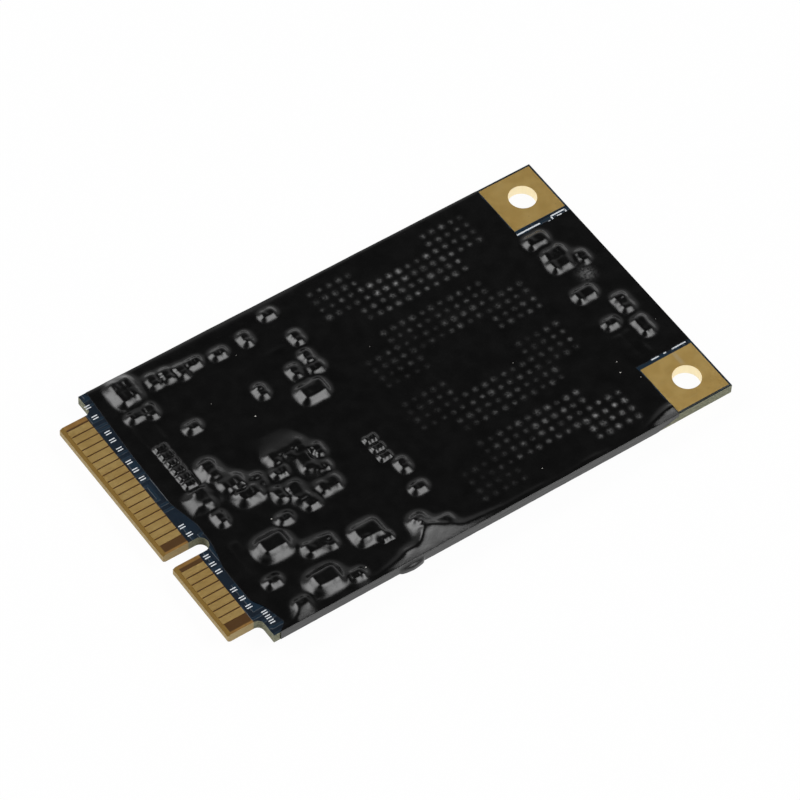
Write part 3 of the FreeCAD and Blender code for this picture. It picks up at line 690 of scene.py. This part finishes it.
def left_of(start, stop):
    """How far each point of the sheet lies to the left of a line."""
    (ax, ay), (bx, by) = start, stop
    left = (bx - ax) * (sheet_y[None, :] - ay) - (by - ay) * (sheet_x[:, None] - ax)
    return left / math.hypot(bx - ax, by - ay)


def patch_mask(corners, soft):
    """1 inside a patch whose corners run anticlockwise, 0 outside it, with a soft edge."""
    inside = np.ones_like(ground)
    for start, stop in zip(corners, corners[1:] + corners[:1]):
        inside *= np.clip(left_of(start, stop) / soft + 0.5, 0.0, 1.0)
    return inside


def lift_loose_film():
    """Air pockets, leaning stretches and the shoulder along the near edge."""
    for x, y, reach_x, reach_y, height in AIR_POCKETS:
        away_x = (sheet_x[:, None] - x) / reach_x
        away_y = (sheet_y[None, :] - y) / reach_y
        hold_up(WHOLE_SHEET, height * np.clip(1.0 - away_x ** 2 - away_y ** 2, 0.0, 1.0))
    for corners, slope in LEANING:
        hold_up(WHOLE_SHEET, slope * left_of(*corners[:2]) * patch_mask(corners, LEAN_SOFT))
    width = np.interp(sheet_x, *zip(*SHOULDER))[:, None]
    on_shoulder = (sheet_y[None, :] <= width) & (sheet_x[:, None] < SHOULDER_END)
    hold_up(WHOLE_SHEET, SHOULDER_SLOPE * sheet_y[None, :] * on_shoulder)


def draw_down():
    """The film's rise: a skin pulled down by suction, held up by what is below it."""
    sheet = ground.copy()
    inner = sheet[1:-1, 1:-1]
    below = ground[1:-1, 1:-1]
    pull = pull_down[1:-1, 1:-1] * SHEET_STEP ** 2 / 4
    index = np.add.outer(np.arange(inner.shape[0]), np.arange(inner.shape[1])) % 2
    for _ in range(RELAX_ROUNDS):
        for turn in (0, 1):
            around = (sheet[2:, 1:-1] + sheet[:-2, 1:-1] + sheet[1:-1, 2:] + sheet[1:-1, :-2]) / 4
            moved = np.maximum(inner + OVER_RELAX * (around - pull - inner), below)
            inner[index == turn] = moved[index == turn]
    return sheet


def smoothed(field, spread):
    """A field rounded off over a spread in millimetres."""
    reach = int(math.ceil(3 * spread / SHEET_STEP))
    weights = np.exp(-0.5 * (np.arange(-reach, reach + 1) * SHEET_STEP / spread) ** 2)
    weights /= weights.sum()
    for axis in (0, 1):
        padded = np.pad(field, [(reach, reach) if a == axis else (0, 0) for a in (0, 1)], mode="edge")
        size = field.shape[axis]
        field = sum(w * np.take(padded, range(k, k + size), axis) for k, w in enumerate(weights))
    return field


def uneven(seed, spread):
    """Soft random waves over the sheet, about 1 high."""
    waves = smoothed(np.random.default_rng(seed).standard_normal(ground.shape), spread)
    return waves / waves.std()


def film_rise():
    """The film's rise above the card: drawn down, rounded, rippled, and puckered where it is lifted."""
    drawn = draw_down()
    tight = smoothed((pull_down > TIGHT_SUCTION).astype(float), TIGHT_BLEND)
    level = smoothed(drawn, TIGHT_ROUNDING) * tight + smoothed(drawn, ROUNDING) * (1.0 - tight)
    level += RIPPLE_DEPTH * uneven(11, RIPPLE_SPREAD)
    taut = (pull_down < TAUT_BELOW * SUCTION) | (pull_down == TALL_SUCTION)
    for corners, _ in LEANING:
        taut |= patch_mask(corners, LEAN_SOFT) > TAUT_MASK
    lifted = np.clip((level - LIFTED_FROM) / LIFTED_OVER, 0.0, 1.0)
    lifted *= 1.0 - TAUT_SHARE * smoothed(taut.astype(float), TAUT_BLEND)
    pucker = np.maximum(uneven(29, PUCKER_SPREAD), -1.0)
    return level + (PUCKER_DEPTH * pucker + PUCKER_LIFT) * lifted


draw_into_gaps(drape_over_parts())
for low, high in TIGHT_PLACES:
    draw_closer(low, high, TIGHT_SUCTION)
drape_over_lands()
lift_loose_film()
for patch in FREE_PATCHES:
    pull_down *= 1.0 - FREE_SHARE * patch_mask(patch, FREE_SOFT)
rise = film_rise()


def between(field, x, y):
    """A field's value at places between the solved points."""
    fx = np.clip(x / SHEET_STEP, 0, len(sheet_x) - 1.001)
    fy = np.clip(y / SHEET_STEP, 0, len(sheet_y) - 1.001)
    ix, iy = fx.astype(int), fy.astype(int)
    tx, ty = fx - ix, fy - iy
    left = field[ix, iy] * (1 - ty) + field[ix, iy + 1] * ty
    right = field[ix + 1, iy] * (1 - ty) + field[ix + 1, iy + 1] * ty
    return left * (1 - tx) + right * tx


# The film's mesh: its size, and the cut-outs at the two lands
FILM_MESH = 0.09
FILM_TRIANGLES = 185000
RIM_WEIGHT = 1000.0
SHARP_FOLD = 55
CUT_X = 45.0
CUT_NEAR, CUT_FAR = 6.1, 23.5
FILM_END = CARD_LENGTH - 0.06

# Small waves in the cuts, near them only: depth, pace and start of each wave
CUT_WOBBLE = 0.6
WOBBLE_X = ((0.05, 1.9, 0.0), (0.03, 4.7, 1.0))
WOBBLE_Y = ((0.04, 2.3, 0.0), (0.03, 5.1, 2.0))

# The wavy end at the tongue: place across the card, and how far along it the film starts there
WAVY_END = (
    (-0.2, 3.4), (0.15, 4.0), (0.5, 4.75), (1.2, 4.6), (2.8, 4.2), (4.0, 3.5), (8.0, 3.5), (10.5, 4.1),
    (13.0, 4.2), (16.0, 3.5), (22.0, 3.6), (29.85, 4.0),
)
WAVY_MARGIN, WAVY_POINTS, WAVY_SOFT = 0.2, 400, 0.25
WAVE_FADE = 4.0

# The sides that are folded down, the loose flap on the near one, and the near edge's last run
BEND_RADIUS = 0.04
BEND_TURNS = 4
SIDE_TURNS = 12
FAR_WALL = 0.03
NEAR_BEND, FAR_BEND = BEND_RADIUS - FILM_THICKNESS, BEND_RADIUS - FAR_WALL
FOOT_GAP = 0.004
STREAK_DEPTH, STREAK_REACH, STREAK_SPREAD = 0.02, 12, 4.0
FLAP_FROM, FLAP_TO, FLAP_REACH = 15.9, 18.3, 0.32
FLAP_ROUND = 0.35
FLAP_BULGE_FROM, FLAP_BULGE_OVER = 0.2, 0.4
TAPER_FROM, TAPER_DEPTH = 42.8, 0.15
EDGE_RUN, EDGE_SLOPE = 0.16, 0.3

# The far edge's rounding: place along the card and width
FAR_ROUND = ((4.0, 0.5), (12.0, 0.5), (18.0, 0.85), (23.0, 0.85), (26.0, 0.45), (45.0, 0.45))
FAR_ROUND_DROP = 0.085
LEAST_RISE = 0.015


def smooth_step(share):
    """A soft run from 0 to 1."""
    share = np.clip(share, 0.0, 1.0)
    return share ** 2 * (3 - 2 * share)


def waves(places, parts):
    """Sine waves added up, at places along a line."""
    return sum(depth * np.sin(pace * places + start) for depth, pace, start in parts)


def steps(*stops):
    """Evenly spaced places between stops, about one mesh size apart."""
    runs = [np.linspace(a, b, max(2, int(round((b - a) / FILM_MESH)) + 1))[:-1]
            for a, b in zip(stops, stops[1:])]
    return np.concatenate(runs + [np.array(stops[-1:])])


def soft_end():
    """The wavy end with its corners rounded: places across the card, and where the film starts there."""
    across = np.linspace(-WAVY_MARGIN, CARD_WIDTH + WAVY_MARGIN, WAVY_POINTS)
    edge = np.interp(across, *zip(*WAVY_END))
    soft = np.exp(-0.5 * ((across[:, None] - across[None, :]) / WAVY_SOFT) ** 2)
    return across, (soft @ edge) / soft.sum(1)


class FilmSheet:
    """The draped sheet: a grid with folded sides, cut-outs at the lands and a closed underside."""

    def __init__(self):
        self.bm = bmesh.new()
        across, edge = soft_end()
        start = float(edge.min())
        rows = steps(NEAR_BEND, CUT_NEAR, CUT_FAR, CARD_WIDTH - FAR_BEND)
        columns = steps(start, CUT_X, FILM_END)
        self.cut_column = int(np.argmin(abs(columns - CUT_X)))
        self.cut_near, self.cut_far = (int(np.argmin(abs(rows - cut))) for cut in (CUT_NEAR, CUT_FAR))
        self.last_column, self.last_row = len(columns) - 1, len(rows) - 1
        fade = smooth_step(1.0 - (columns - start) / WAVE_FADE)
        self.x = np.stack([columns + (np.interp(y, across, edge) - start) * fade for y in rows], axis=1)
        self.y = np.broadcast_to(rows, self.x.shape).copy()
        self.make_cuts_uneven(columns, rows)
        self.level = self.find_levels()
        streaks = np.random.default_rng(5).standard_normal((SIDE_TURNS + 1, len(columns)))
        blur = np.exp(-0.5 * (np.arange(-STREAK_REACH, STREAK_REACH + 1) / STREAK_SPREAD) ** 2)
        self.streaks = np.array([np.convolve(line, blur / blur.sum(), "same") for line in streaks])

    def make_cuts_uneven(self, columns, rows):
        """Small waves in the cuts round the lands."""
        wobble_x, wobble_y = waves(rows, WOBBLE_X), waves(columns, WOBBLE_Y)
        close = np.clip(1.0 - abs(columns - CUT_X) / CUT_WOBBLE, 0.0, 1.0)[:, None]
        self.x += wobble_x[None, :] * close
        for cut in (CUT_NEAR, CUT_FAR):
            close = np.clip(1.0 - abs(rows - cut) / CUT_WOBBLE, 0.0, 1.0)[None, :]
            self.y += wobble_y[:, None] * close * (columns > CUT_X - CUT_WOBBLE)[:, None]

    def find_levels(self):
        """The grid's rise above the card, straight at the near edge and rounded down at the far one."""
        level = FILM_THICKNESS + between(rise, self.x, self.y)
        inner = between(rise, self.x, np.full_like(self.y, EDGE_RUN))
        further = between(rise, self.x, np.full_like(self.y, 2 * EDGE_RUN))
        slope = np.clip((further - inner) / EDGE_RUN, 0.0, EDGE_SLOPE)
        near_edge = FILM_THICKNESS + inner + slope * (self.y - EDGE_RUN)
        level = np.where(self.y < EDGE_RUN, near_edge, level)
        round_from = CARD_WIDTH - np.interp(self.x, *zip(*FAR_ROUND))
        rounded = np.clip((self.y - round_from) / (CARD_WIDTH - round_from), 0.0, 1.0)
        return np.maximum(level - FAR_ROUND_DROP * rounded ** 3, LEAST_RISE)

    def lay_top(self):
        """The upper face, without the fields at the two lands."""
        top = {}
        for i in range(self.last_column + 1):
            for j in range(self.last_row + 1):
                if i <= self.cut_column or self.cut_near <= j <= self.cut_far:
                    top[i, j] = self.bm.verts.new(on_card(self.x[i, j], self.y[i, j], self.level[i, j]))
        for i in range(self.last_column):
            for j in range(self.last_row):
                if i < self.cut_column or self.cut_near <= j < self.cut_far:
                    self.bm.faces.new((top[i, j], top[i + 1, j], top[i + 1, j + 1], top[i, j + 1]))
        self.top = top

    def fold(self, side):
        """The strips that wrap one long edge, from the sheet's last row to the card's top corner."""
        near = side < 0
        row = 0 if near else self.last_row
        edge, wall, bend = (0.0, FILM_THICKNESS, NEAR_BEND) if near else (CARD_WIDTH, FAR_WALL, FAR_BEND)
        end = self.cut_column + 1
        line, crest = self.x[:end, row], self.level[:end, row]
        flap, feet = np.zeros_like(line), np.full_like(line, -FOLD_DEPTH)
        if near:
            middle = np.clip(1 - abs(2 * line - FLAP_FROM - FLAP_TO) / (FLAP_TO - FLAP_FROM), 0, 1)
            flap = FLAP_REACH * middle ** FLAP_ROUND
            feet = -np.interp(line, (TAPER_FROM, CUT_X), (FOLD_DEPTH, TAPER_DEPTH))

        def strip(out, levels):
            """A line of points some way out from the card's edge."""
            places = zip(line, np.broadcast_to(edge + side * out, line.shape), levels)
            return [self.bm.verts.new(on_card(*place)) for place in places]

        strips = [[self.top[i, row] for i in range(end)]]
        for turn in range(1, BEND_TURNS + 1):
            angle = math.pi / 2 * turn / BEND_TURNS
            drop = BEND_RADIUS * (1 - math.cos(angle))
            strips.append(strip(BEND_RADIUS * math.sin(angle) - bend, crest - drop))
        for turn in range(1, SIDE_TURNS + 1):
            share = turn / SIDE_TURNS
            bulge = smooth_step((share - FLAP_BULGE_FROM) / FLAP_BULGE_OVER)
            out = wall + flap * bulge - STREAK_DEPTH * abs(self.streaks[turn][:end])
            strips.append(strip(out, (crest - BEND_RADIUS) * (1 - share) + feet * share))
        for levels in (feet, np.full_like(line, FOOT_GAP)):
            strips.append(strip(FOOT_GAP, levels))
        join_lines(self.bm, strips)
        return strips

    def rim(self, path, column):
        """The cut edge of the film along a path of sheet corners, down to the card between the folds."""
        feet = [self.bm.verts.new((v.co.x, v.co.y, on_card(0, 0, FOOT_GAP).z)) for v in path[1:-1]]
        feet = [self.near_fold[-1][column]] + feet + [self.far_fold[-1][column]]
        join_lines(self.bm, (path, feet))
        return feet

    def cut_path(self):
        """The sheet's corners along its far end, round both lands."""
        column, near, far, last = self.cut_column, self.cut_near, self.cut_far, self.last_column
        path = [(column, j) for j in range(near + 1)]
        path += [(i, near) for i in range(column + 1, last + 1)]
        path += [(last, j) for j in range(near + 1, far + 1)]
        path += [(i, far) for i in range(last - 1, column - 1, -1)]
        return path + [(column, j) for j in range(far + 1, self.last_row + 1)]

    def close_underside(self, open_feet, foot_at):
        """The underside, one face for each row."""
        def row_feet(j, end):
            """The underside's points along one row, from the open end out to a column."""
            if j in (0, self.last_row):
                return (self.near_fold if j == 0 else self.far_fold)[-1]
            columns = range(self.cut_column, end + 1)
            return [open_feet[j]] + [foot_at[i, j] for i in columns if (i, j) in foot_at]

        for j in range(self.last_row):
            end = self.last_column if self.cut_near <= j < self.cut_far else self.cut_column
            self.bm.faces.new(row_feet(j, end) + row_feet(j + 1, end)[::-1])

    def build(self):
        """The whole sheet as a fine mesh, and the points of it that may be thinned out."""
        self.lay_top()
        self.near_fold, self.far_fold = self.fold(-1), self.fold(1)
        cut_path = self.cut_path()
        open_end = [self.top[0, j] for j in range(self.last_row + 1)]
        cut_end = [self.top[corner] for corner in cut_path]
        open_feet, cut_feet = self.rim(open_end, 0), self.rim(cut_end, self.cut_column)
        for strips in (self.near_fold, self.far_fold):
            self.bm.faces.new([strip[0] for strip in strips])
            self.bm.faces.new([strip[self.cut_column] for strip in strips])
        self.close_underside(open_feet, dict(zip(cut_path, cut_feet)))
        bmesh.ops.recalc_face_normals(self.bm, faces=self.bm.faces)
        self.bm.verts.index_update()
        rims = set(open_end + cut_end + self.near_fold[0] + self.far_fold[0])
        inner = [v.index for v in self.top.values() if v not in rims]
        return finished_mesh(self.bm, "fine_sheet", smooth=True), inner


def thinned(fine, inner_points, name):
    """A mesh with fewer triangles where it is nearly flat; points outside the inner ones stay."""
    fine.calc_loop_triangles()
    sheet = new_object("fine_sheet", fine)
    thin = sheet.modifiers.new("thin", "DECIMATE")
    thin.ratio = FILM_TRIANGLES / len(fine.loop_triangles)
    inner = sheet.vertex_groups.new(name="inner_sheet")
    inner.add(inner_points, 1.0, "REPLACE")
    thin.vertex_group = inner.name
    thin.vertex_group_factor = RIM_WEIGHT
    mesh = bpy.data.meshes.new_from_object(sheet.evaluated_get(bpy.context.evaluated_depsgraph_get()))
    bpy.data.objects.remove(sheet)
    bpy.data.meshes.remove(fine)
    mesh.name = name
    return mesh


def build_film():
    """The film's final mesh, with its dulling and painted grey sheen over the lands kept at its points."""
    mesh = thinned(*FilmSheet().build(), "draped_film")
    mesh.set_sharp_from_angle(angle=math.radians(SHARP_FOLD))
    points = from_card(mesh_points(mesh))
    upper = points[:, 2] > 0.5 * FILM_THICKNESS
    sheen_and_dullness = mesh.attributes.new("dull_and_sheen", "FLOAT", "POINT")
    sheen_and_dullness.data.foreach_set("value", between(dull_and_sheen, points[:, 0], points[:, 1]) * upper)
    return mesh


film = add_piece("draped_film", build_film(), FILM)
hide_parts("insulating_film")


# Printed marks, lint, mask and solder

INK_RISE = 0.012
INK_CLIP = 0.25

# Pairs of short strokes on the blue band: place, and the strokes' length, width and half distance
BAND_TICKS = (
    (3.25, 28.45), (3.2, 27.2), (3.2, 25.2), (3.1, 24.3), (3.1, 23.2), (3.0, 21.6), (3.0, 20.6),
    (3.0, 19.55), (3.0, 13.5), (3.1, 12.5), (3.0, 9.75), (3.0, 8.85), (3.0, 7.95), (3.0, 5.7),
    (3.1, 4.6), (3.1, 3.6),
)
CORNER_TICKS = ((3.85, 2.4), (3.85, 1.85), (3.85, 1.3))
BAND_STROKE = (0.55, 0.10, 0.13)
CORNER_STROKE = (0.5, 0.10, 0.12)

# Bars beside the two lands: place, length and width
LAND_BARS = (
    (46.2, 23.76, 2.8, 0.14), (44.85, 23.9, 0.14, 0.4), (47.95, 23.5, 0.4, 0.13), (48.45, 23.5, 0.25, 0.13),
    (49.6, 23.9, 1.6, 0.14), (48.85, 23.7, 0.14, 0.45), (50.35, 23.7, 0.14, 0.45), (49.6, 23.62, 0.5, 0.12),
    (47.0, 6.03, 0.8, 0.13), (48.05, 6.03, 0.3, 0.13), (49.55, 6.03, 1.5, 0.13),
)


def ink_bar(bm, x, y, length, width):
    """One printed stroke: a thin flat bar with clipped corners."""
    clip = min(length, width) * INK_CLIP
    half_l, half_w = length / 2, width / 2
    outline = [(-half_l + clip, -half_w), (half_l - clip, -half_w), (half_l, -half_w + clip),
               (half_l, half_w - clip), (half_l - clip, half_w), (-half_l + clip, half_w),
               (-half_l, half_w - clip), (-half_l, -half_w + clip)]
    upper = [bm.verts.new(on_card(x + px, y + py, INK_RISE)) for px, py in outline]
    lower = [bm.verts.new(on_card(x + px, y + py, 0.0)) for px, py in outline]
    bm.faces.new(upper)
    bm.faces.new(lower[::-1])
    join_lines(bm, (lower, upper), closed=True)


def build_ink():
    """All printed strokes and bars."""
    bm = bmesh.new()
    for ticks, (length, width, apart) in ((BAND_TICKS, BAND_STROKE), (CORNER_TICKS, CORNER_STROKE)):
        for x, y in ticks:
            ink_bar(bm, x, y + apart, length, width)
            ink_bar(bm, x, y - apart, length, width)
    for x, y, length, width in LAND_BARS:
        ink_bar(bm, x, y, length, width)
    bmesh.ops.recalc_face_normals(bm, faces=bm.faces)
    return finished_mesh(bm, "printed_marks")


add_piece("printed_marks", build_ink(), INK)


# Lint on the film: place and size; then how uneven, flat and high a flake is
LINT_PLACES = (
    (14.63, 19.70, 0.13), (9.65, 9.95, 0.12), (13.40, 1.44, 0.11), (43.93, 7.46, 0.09),
    (43.51, 6.35, 0.12), (44.69, 4.98, 0.07), (36.40, 12.30, 0.06), (27.10, 20.60, 0.05),
    (16.90, 26.10, 0.06), (12.20, 22.90, 0.05), (31.80, 1.70, 0.06), (49.60, 9.40, 0.06),
)
LINT_UNEVEN = 0.175
LINT_SQUASH = Vector((1.15, 0.85, 0.5))
LINT_RISE = 0.12


def build_lint():
    """Small uneven flakes that lie on the film."""
    bm = bmesh.new()
    jitter = np.random.default_rng(23)
    for x, y, size in LINT_PLACES:
        level = FILM_THICKNESS + float(between(rise, np.array([x]), np.array([y]))[0])
        flake = bmesh.ops.create_icosphere(bm, subdivisions=2, radius=size / 2 * MM)["verts"]
        for v in flake:
            v.co *= 1.0 + LINT_UNEVEN * jitter.standard_normal()
            v.co = v.co * LINT_SQUASH + on_card(x, y, level + LINT_RISE * size)
    return finished_mesh(bm, "lint", smooth=True)


add_piece("lint", build_lint(), LINT)

LAP_HALF = 0.05
LAP_RISE = 0.012


def build_lap():
    """The mask's narrow lap over the outer edges of both plated lands."""
    bm = bmesh.new()
    for name in ("mounting_land_near", "mounting_land_far"):
        low, high = (from_card(np.array(corner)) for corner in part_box(name))
        edge_y = low[1] if name.endswith("near") else high[1]
        spans = ((low[0], high[0], edge_y - LAP_HALF, edge_y + LAP_HALF),
                 (high[0] - LAP_HALF, high[0] + LAP_HALF, low[1], high[1]))
        for x0, x1, y0, y1 in spans:
            lap = bmesh.ops.create_cube(bm, size=1.0)["verts"]
            for v in lap:
                v.co = on_card(x0 + (v.co.x + 0.5) * (x1 - x0), y0 + (v.co.y + 0.5) * (y1 - y0),
                               (v.co.z + 0.5) * (high[2] + LAP_RISE))
    return finished_mesh(bm, "mask_lap")


add_piece("mask_lap", build_lap(), BOARD)

CARD_BELOW = (CARD_LOW.z - CARD_HIGH.z) / MM
FILLET_REACH = 0.24
FILLET_HEIGHT = 0.6
FILLET_NARROWING = 0.12
FILLET_RIBS = (0.0, 0.2, 0.45, 0.7, 1.0)
SHARP_FILLET = 40
WELD = 1e-7


def add_fillet(bm, body, low, high):
    """Solder drawn up the outer end of one chip end: ribs from the chip out to a thin edge on the card."""
    middle = (low + high) / 2
    axis = int(np.argmax(abs(middle - body)[:2]))
    out = 1 if middle[axis] > body[axis] else -1
    face = high[axis] if out > 0 else low[axis]
    half = (high[1 - axis] - low[1 - axis]) / 2
    tall = FILLET_HEIGHT * (high[2] - low[2])
    ribs = []
    for share in FILLET_RIBS:
        away = face + out * FILLET_REACH * share
        depth = CARD_BELOW - tall * (1 - share) ** 2
        narrow = half * (1.0 - FILLET_NARROWING * share)
        rib = []
        for across, level in ((-narrow, CARD_BELOW), (-narrow, depth), (-0.5 * narrow, depth),
                              (0.5 * narrow, depth), (narrow, depth), (narrow, CARD_BELOW)):
            spot = [0.0, 0.0]
            spot[axis], spot[1 - axis] = away, middle[1 - axis] + across
            rib.append(bm.verts.new(on_card(spot[0], spot[1], level)))
        ribs.append(rib)
    join_lines(bm, ribs, closed=True)
    bm.faces.new(ribs[0])
    bm.faces.new(ribs[-1][::-1])


def build_fillets():
    """Solder on both ends of each chip below the card."""
    bm = bmesh.new()
    for name in ("underside_small_capacitors", "underside_medium_capacitors", "underside_resistors"):
        ends = loose_solids(name + "_ends")
        middles = np.array([(low + high) / 2 for low, high in ends])
        for low, high in loose_solids(name):
            body = (low + high) / 2
            for k in np.argsort(((middles - body) ** 2).sum(1))[:2]:
                add_fillet(bm, body, *ends[k])
    bmesh.ops.remove_doubles(bm, verts=bm.verts, dist=WELD)
    bmesh.ops.dissolve_degenerate(bm, edges=bm.edges, dist=WELD)
    bmesh.ops.recalc_face_normals(bm, faces=bm.faces)
    mesh = finished_mesh(bm, "solder_fillets", smooth=True)
    mesh.set_sharp_from_angle(angle=math.radians(SHARP_FILLET))
    return mesh


add_piece("solder_fillets", build_fillets(), SOLDER)


# Floor, light and camera

WHITE = (1.0, 1.0, 1.0, 1.0)
FLOOR_GLOW = 0.965
FLOOR_TURNS = 96
FLOOR_RINGS = (0.3, 1.0, 1.6)
COVE_RADIUS = 0.3
COVE_STEPS = 8
BACKDROP_HEIGHT = 0.32
FLOOR_GAP = 0.00002


def floor_finish():
    """White for the eye and for reflections, with the drive's shadow kept."""
    material = bpy.data.materials.new("white_studio_floor")
    material.use_nodes = True
    n = Nodes(material.node_tree)
    n.tree.nodes.clear()
    plain = n.add("BsdfDiffuse", {"Color": WHITE}).outputs[0]
    white = n.add("Emission", {"Color": WHITE}).outputs[0]
    rays = n.add("LightPath", {}).outputs
    seen = n.number("MAXIMUM", rays["Is Camera Ray"], rays["Is Glossy Ray"])
    seen = n.number("MAXIMUM", seen, rays["Is Transmission Ray"])
    glow = n.number("MULTIPLY", seen, FLOOR_GLOW)
    mixed = n.add("MixShader", {0: glow, 1: plain, 2: white}).outputs[0]
    n.add("OutputMaterial", {"Surface": mixed})
    return material


def build_stage():
    """A round floor whose rim turns up into a low backdrop."""
    bm = bmesh.new()
    profile = [(radius, 0.0) for radius in FLOOR_RINGS]
    for k in range(1, COVE_STEPS + 1):
        angle = math.pi / 2 * k / COVE_STEPS
        out, up = COVE_RADIUS * math.sin(angle), COVE_RADIUS * (1 - math.cos(angle))
        profile.append((FLOOR_RINGS[-1] + out, up))
    profile.append((FLOOR_RINGS[-1] + COVE_RADIUS, BACKDROP_HEIGHT))
    angles = [2 * math.pi * t / FLOOR_TURNS for t in range(FLOOR_TURNS)]
    rings = [[bm.verts.new((r * math.cos(a), r * math.sin(a), z)) for a in angles] for r, z in profile]
    bm.faces.new(rings[0])
    join_lines(bm, rings[::-1], closed=True)
    mesh = finished_mesh(bm, "studio_floor", smooth=True)
    mesh.materials.append(floor_finish())
    floor = new_object("studio_floor", mesh)
    floor.location.z = cad_box[0][2] - FLOOR_GAP


build_stage()

# Each soft box is a large dim veil with a smaller bright core before it, so that its edges fade:
# distance, width, length and brightness
VEIL = (0.68, 0.34, 0.68, 2.3)
CORE = (0.64, 0.19, 0.40, 3.3)


def soft_box(name, direction, along, distance, width, length, brightness):
    """A soft lamp that faces the drive from a direction, with its length laid along a line."""
    lamp = bpy.data.lights.new(name, "AREA")
    lamp.shape = "RECTANGLE"
    lamp.size, lamp.size_y = width, length
    lamp.energy = brightness * math.pi * width * length
    back_axis = Vector(direction).normalized()
    side_axis = Vector(along).cross(back_axis).normalized()
    up_axis = back_axis.cross(side_axis)
    turned = Matrix((side_axis, up_axis, back_axis)).transposed().to_4x4()
    new_object(name, lamp).matrix_world = Matrix.Translation(back_axis * distance) @ turned


for name, direction, along in (("left_box", (-0.53, 0.485, 0.69), (0.80, 0.0, 0.60)),
                               ("right_box", (0.375, -0.48, 0.79), (0.0, 0.80, 0.60))):
    soft_box(name + "_veil", direction, along, *VEIL)
    soft_box(name + "_core", direction, along, *CORE)

# A room that is grey at the horizon and nearly black overhead, and the heights between which it darkens
HORIZON = (0.36, 0.36, 0.36, 1.0)
OVERHEAD = (0.03, 0.03, 0.03, 1.0)
DARKENS_FROM, DARKENS_TO = 0.50, 0.77
world = bpy.data.worlds.new("dim_studio")
bpy.context.scene.world = world
world.use_nodes = True
sky = Nodes(world.node_tree)
height = sky.split("TexCoord", "Generated")["Z"]
dark = sky.remap(height, DARKENS_FROM, DARKENS_TO, kind="SMOOTHSTEP")
background = sky.tree.nodes["Background"].inputs["Color"]
sky.tree.links.new(sky.mix(dark, HORIZON, OVERHEAD), background)

# The photo's camera: degrees, then millimetres
CAMERA_AZIMUTH = -37.675
CAMERA_ELEVATION = 52.195
CAMERA_ROLL = 3.3825
CAMERA_DISTANCE = 425.26
CAMERA_LENS = 223.5
CAMERA_SENSOR = 36.0
CAMERA_CLIP = (0.01, 20.0)
AIM = Vector((0.572, -0.506, 2.2)) * MM

turn, lift = math.radians(CAMERA_AZIMUTH), math.radians(CAMERA_ELEVATION)
back = Vector((math.sin(turn) * math.cos(lift), -math.cos(turn) * math.cos(lift), math.sin(lift)))
camera_data = bpy.data.cameras.new("photo_camera")
camera_data.lens = CAMERA_LENS
camera_data.sensor_width = CAMERA_SENSOR
camera_data.clip_start, camera_data.clip_end = CAMERA_CLIP
camera = new_object("photo_camera", camera_data)
level = back.to_track_quat("Z", "Y").to_matrix().to_4x4()
camera.matrix_world = (Matrix.Translation(AIM + back * CAMERA_DISTANCE * MM) @ level
                       @ Matrix.Rotation(math.radians(CAMERA_ROLL), 4, "Z"))
bpy.context.scene.camera = camera
bpy.context.scene.view_settings.view_transform = "Standard"
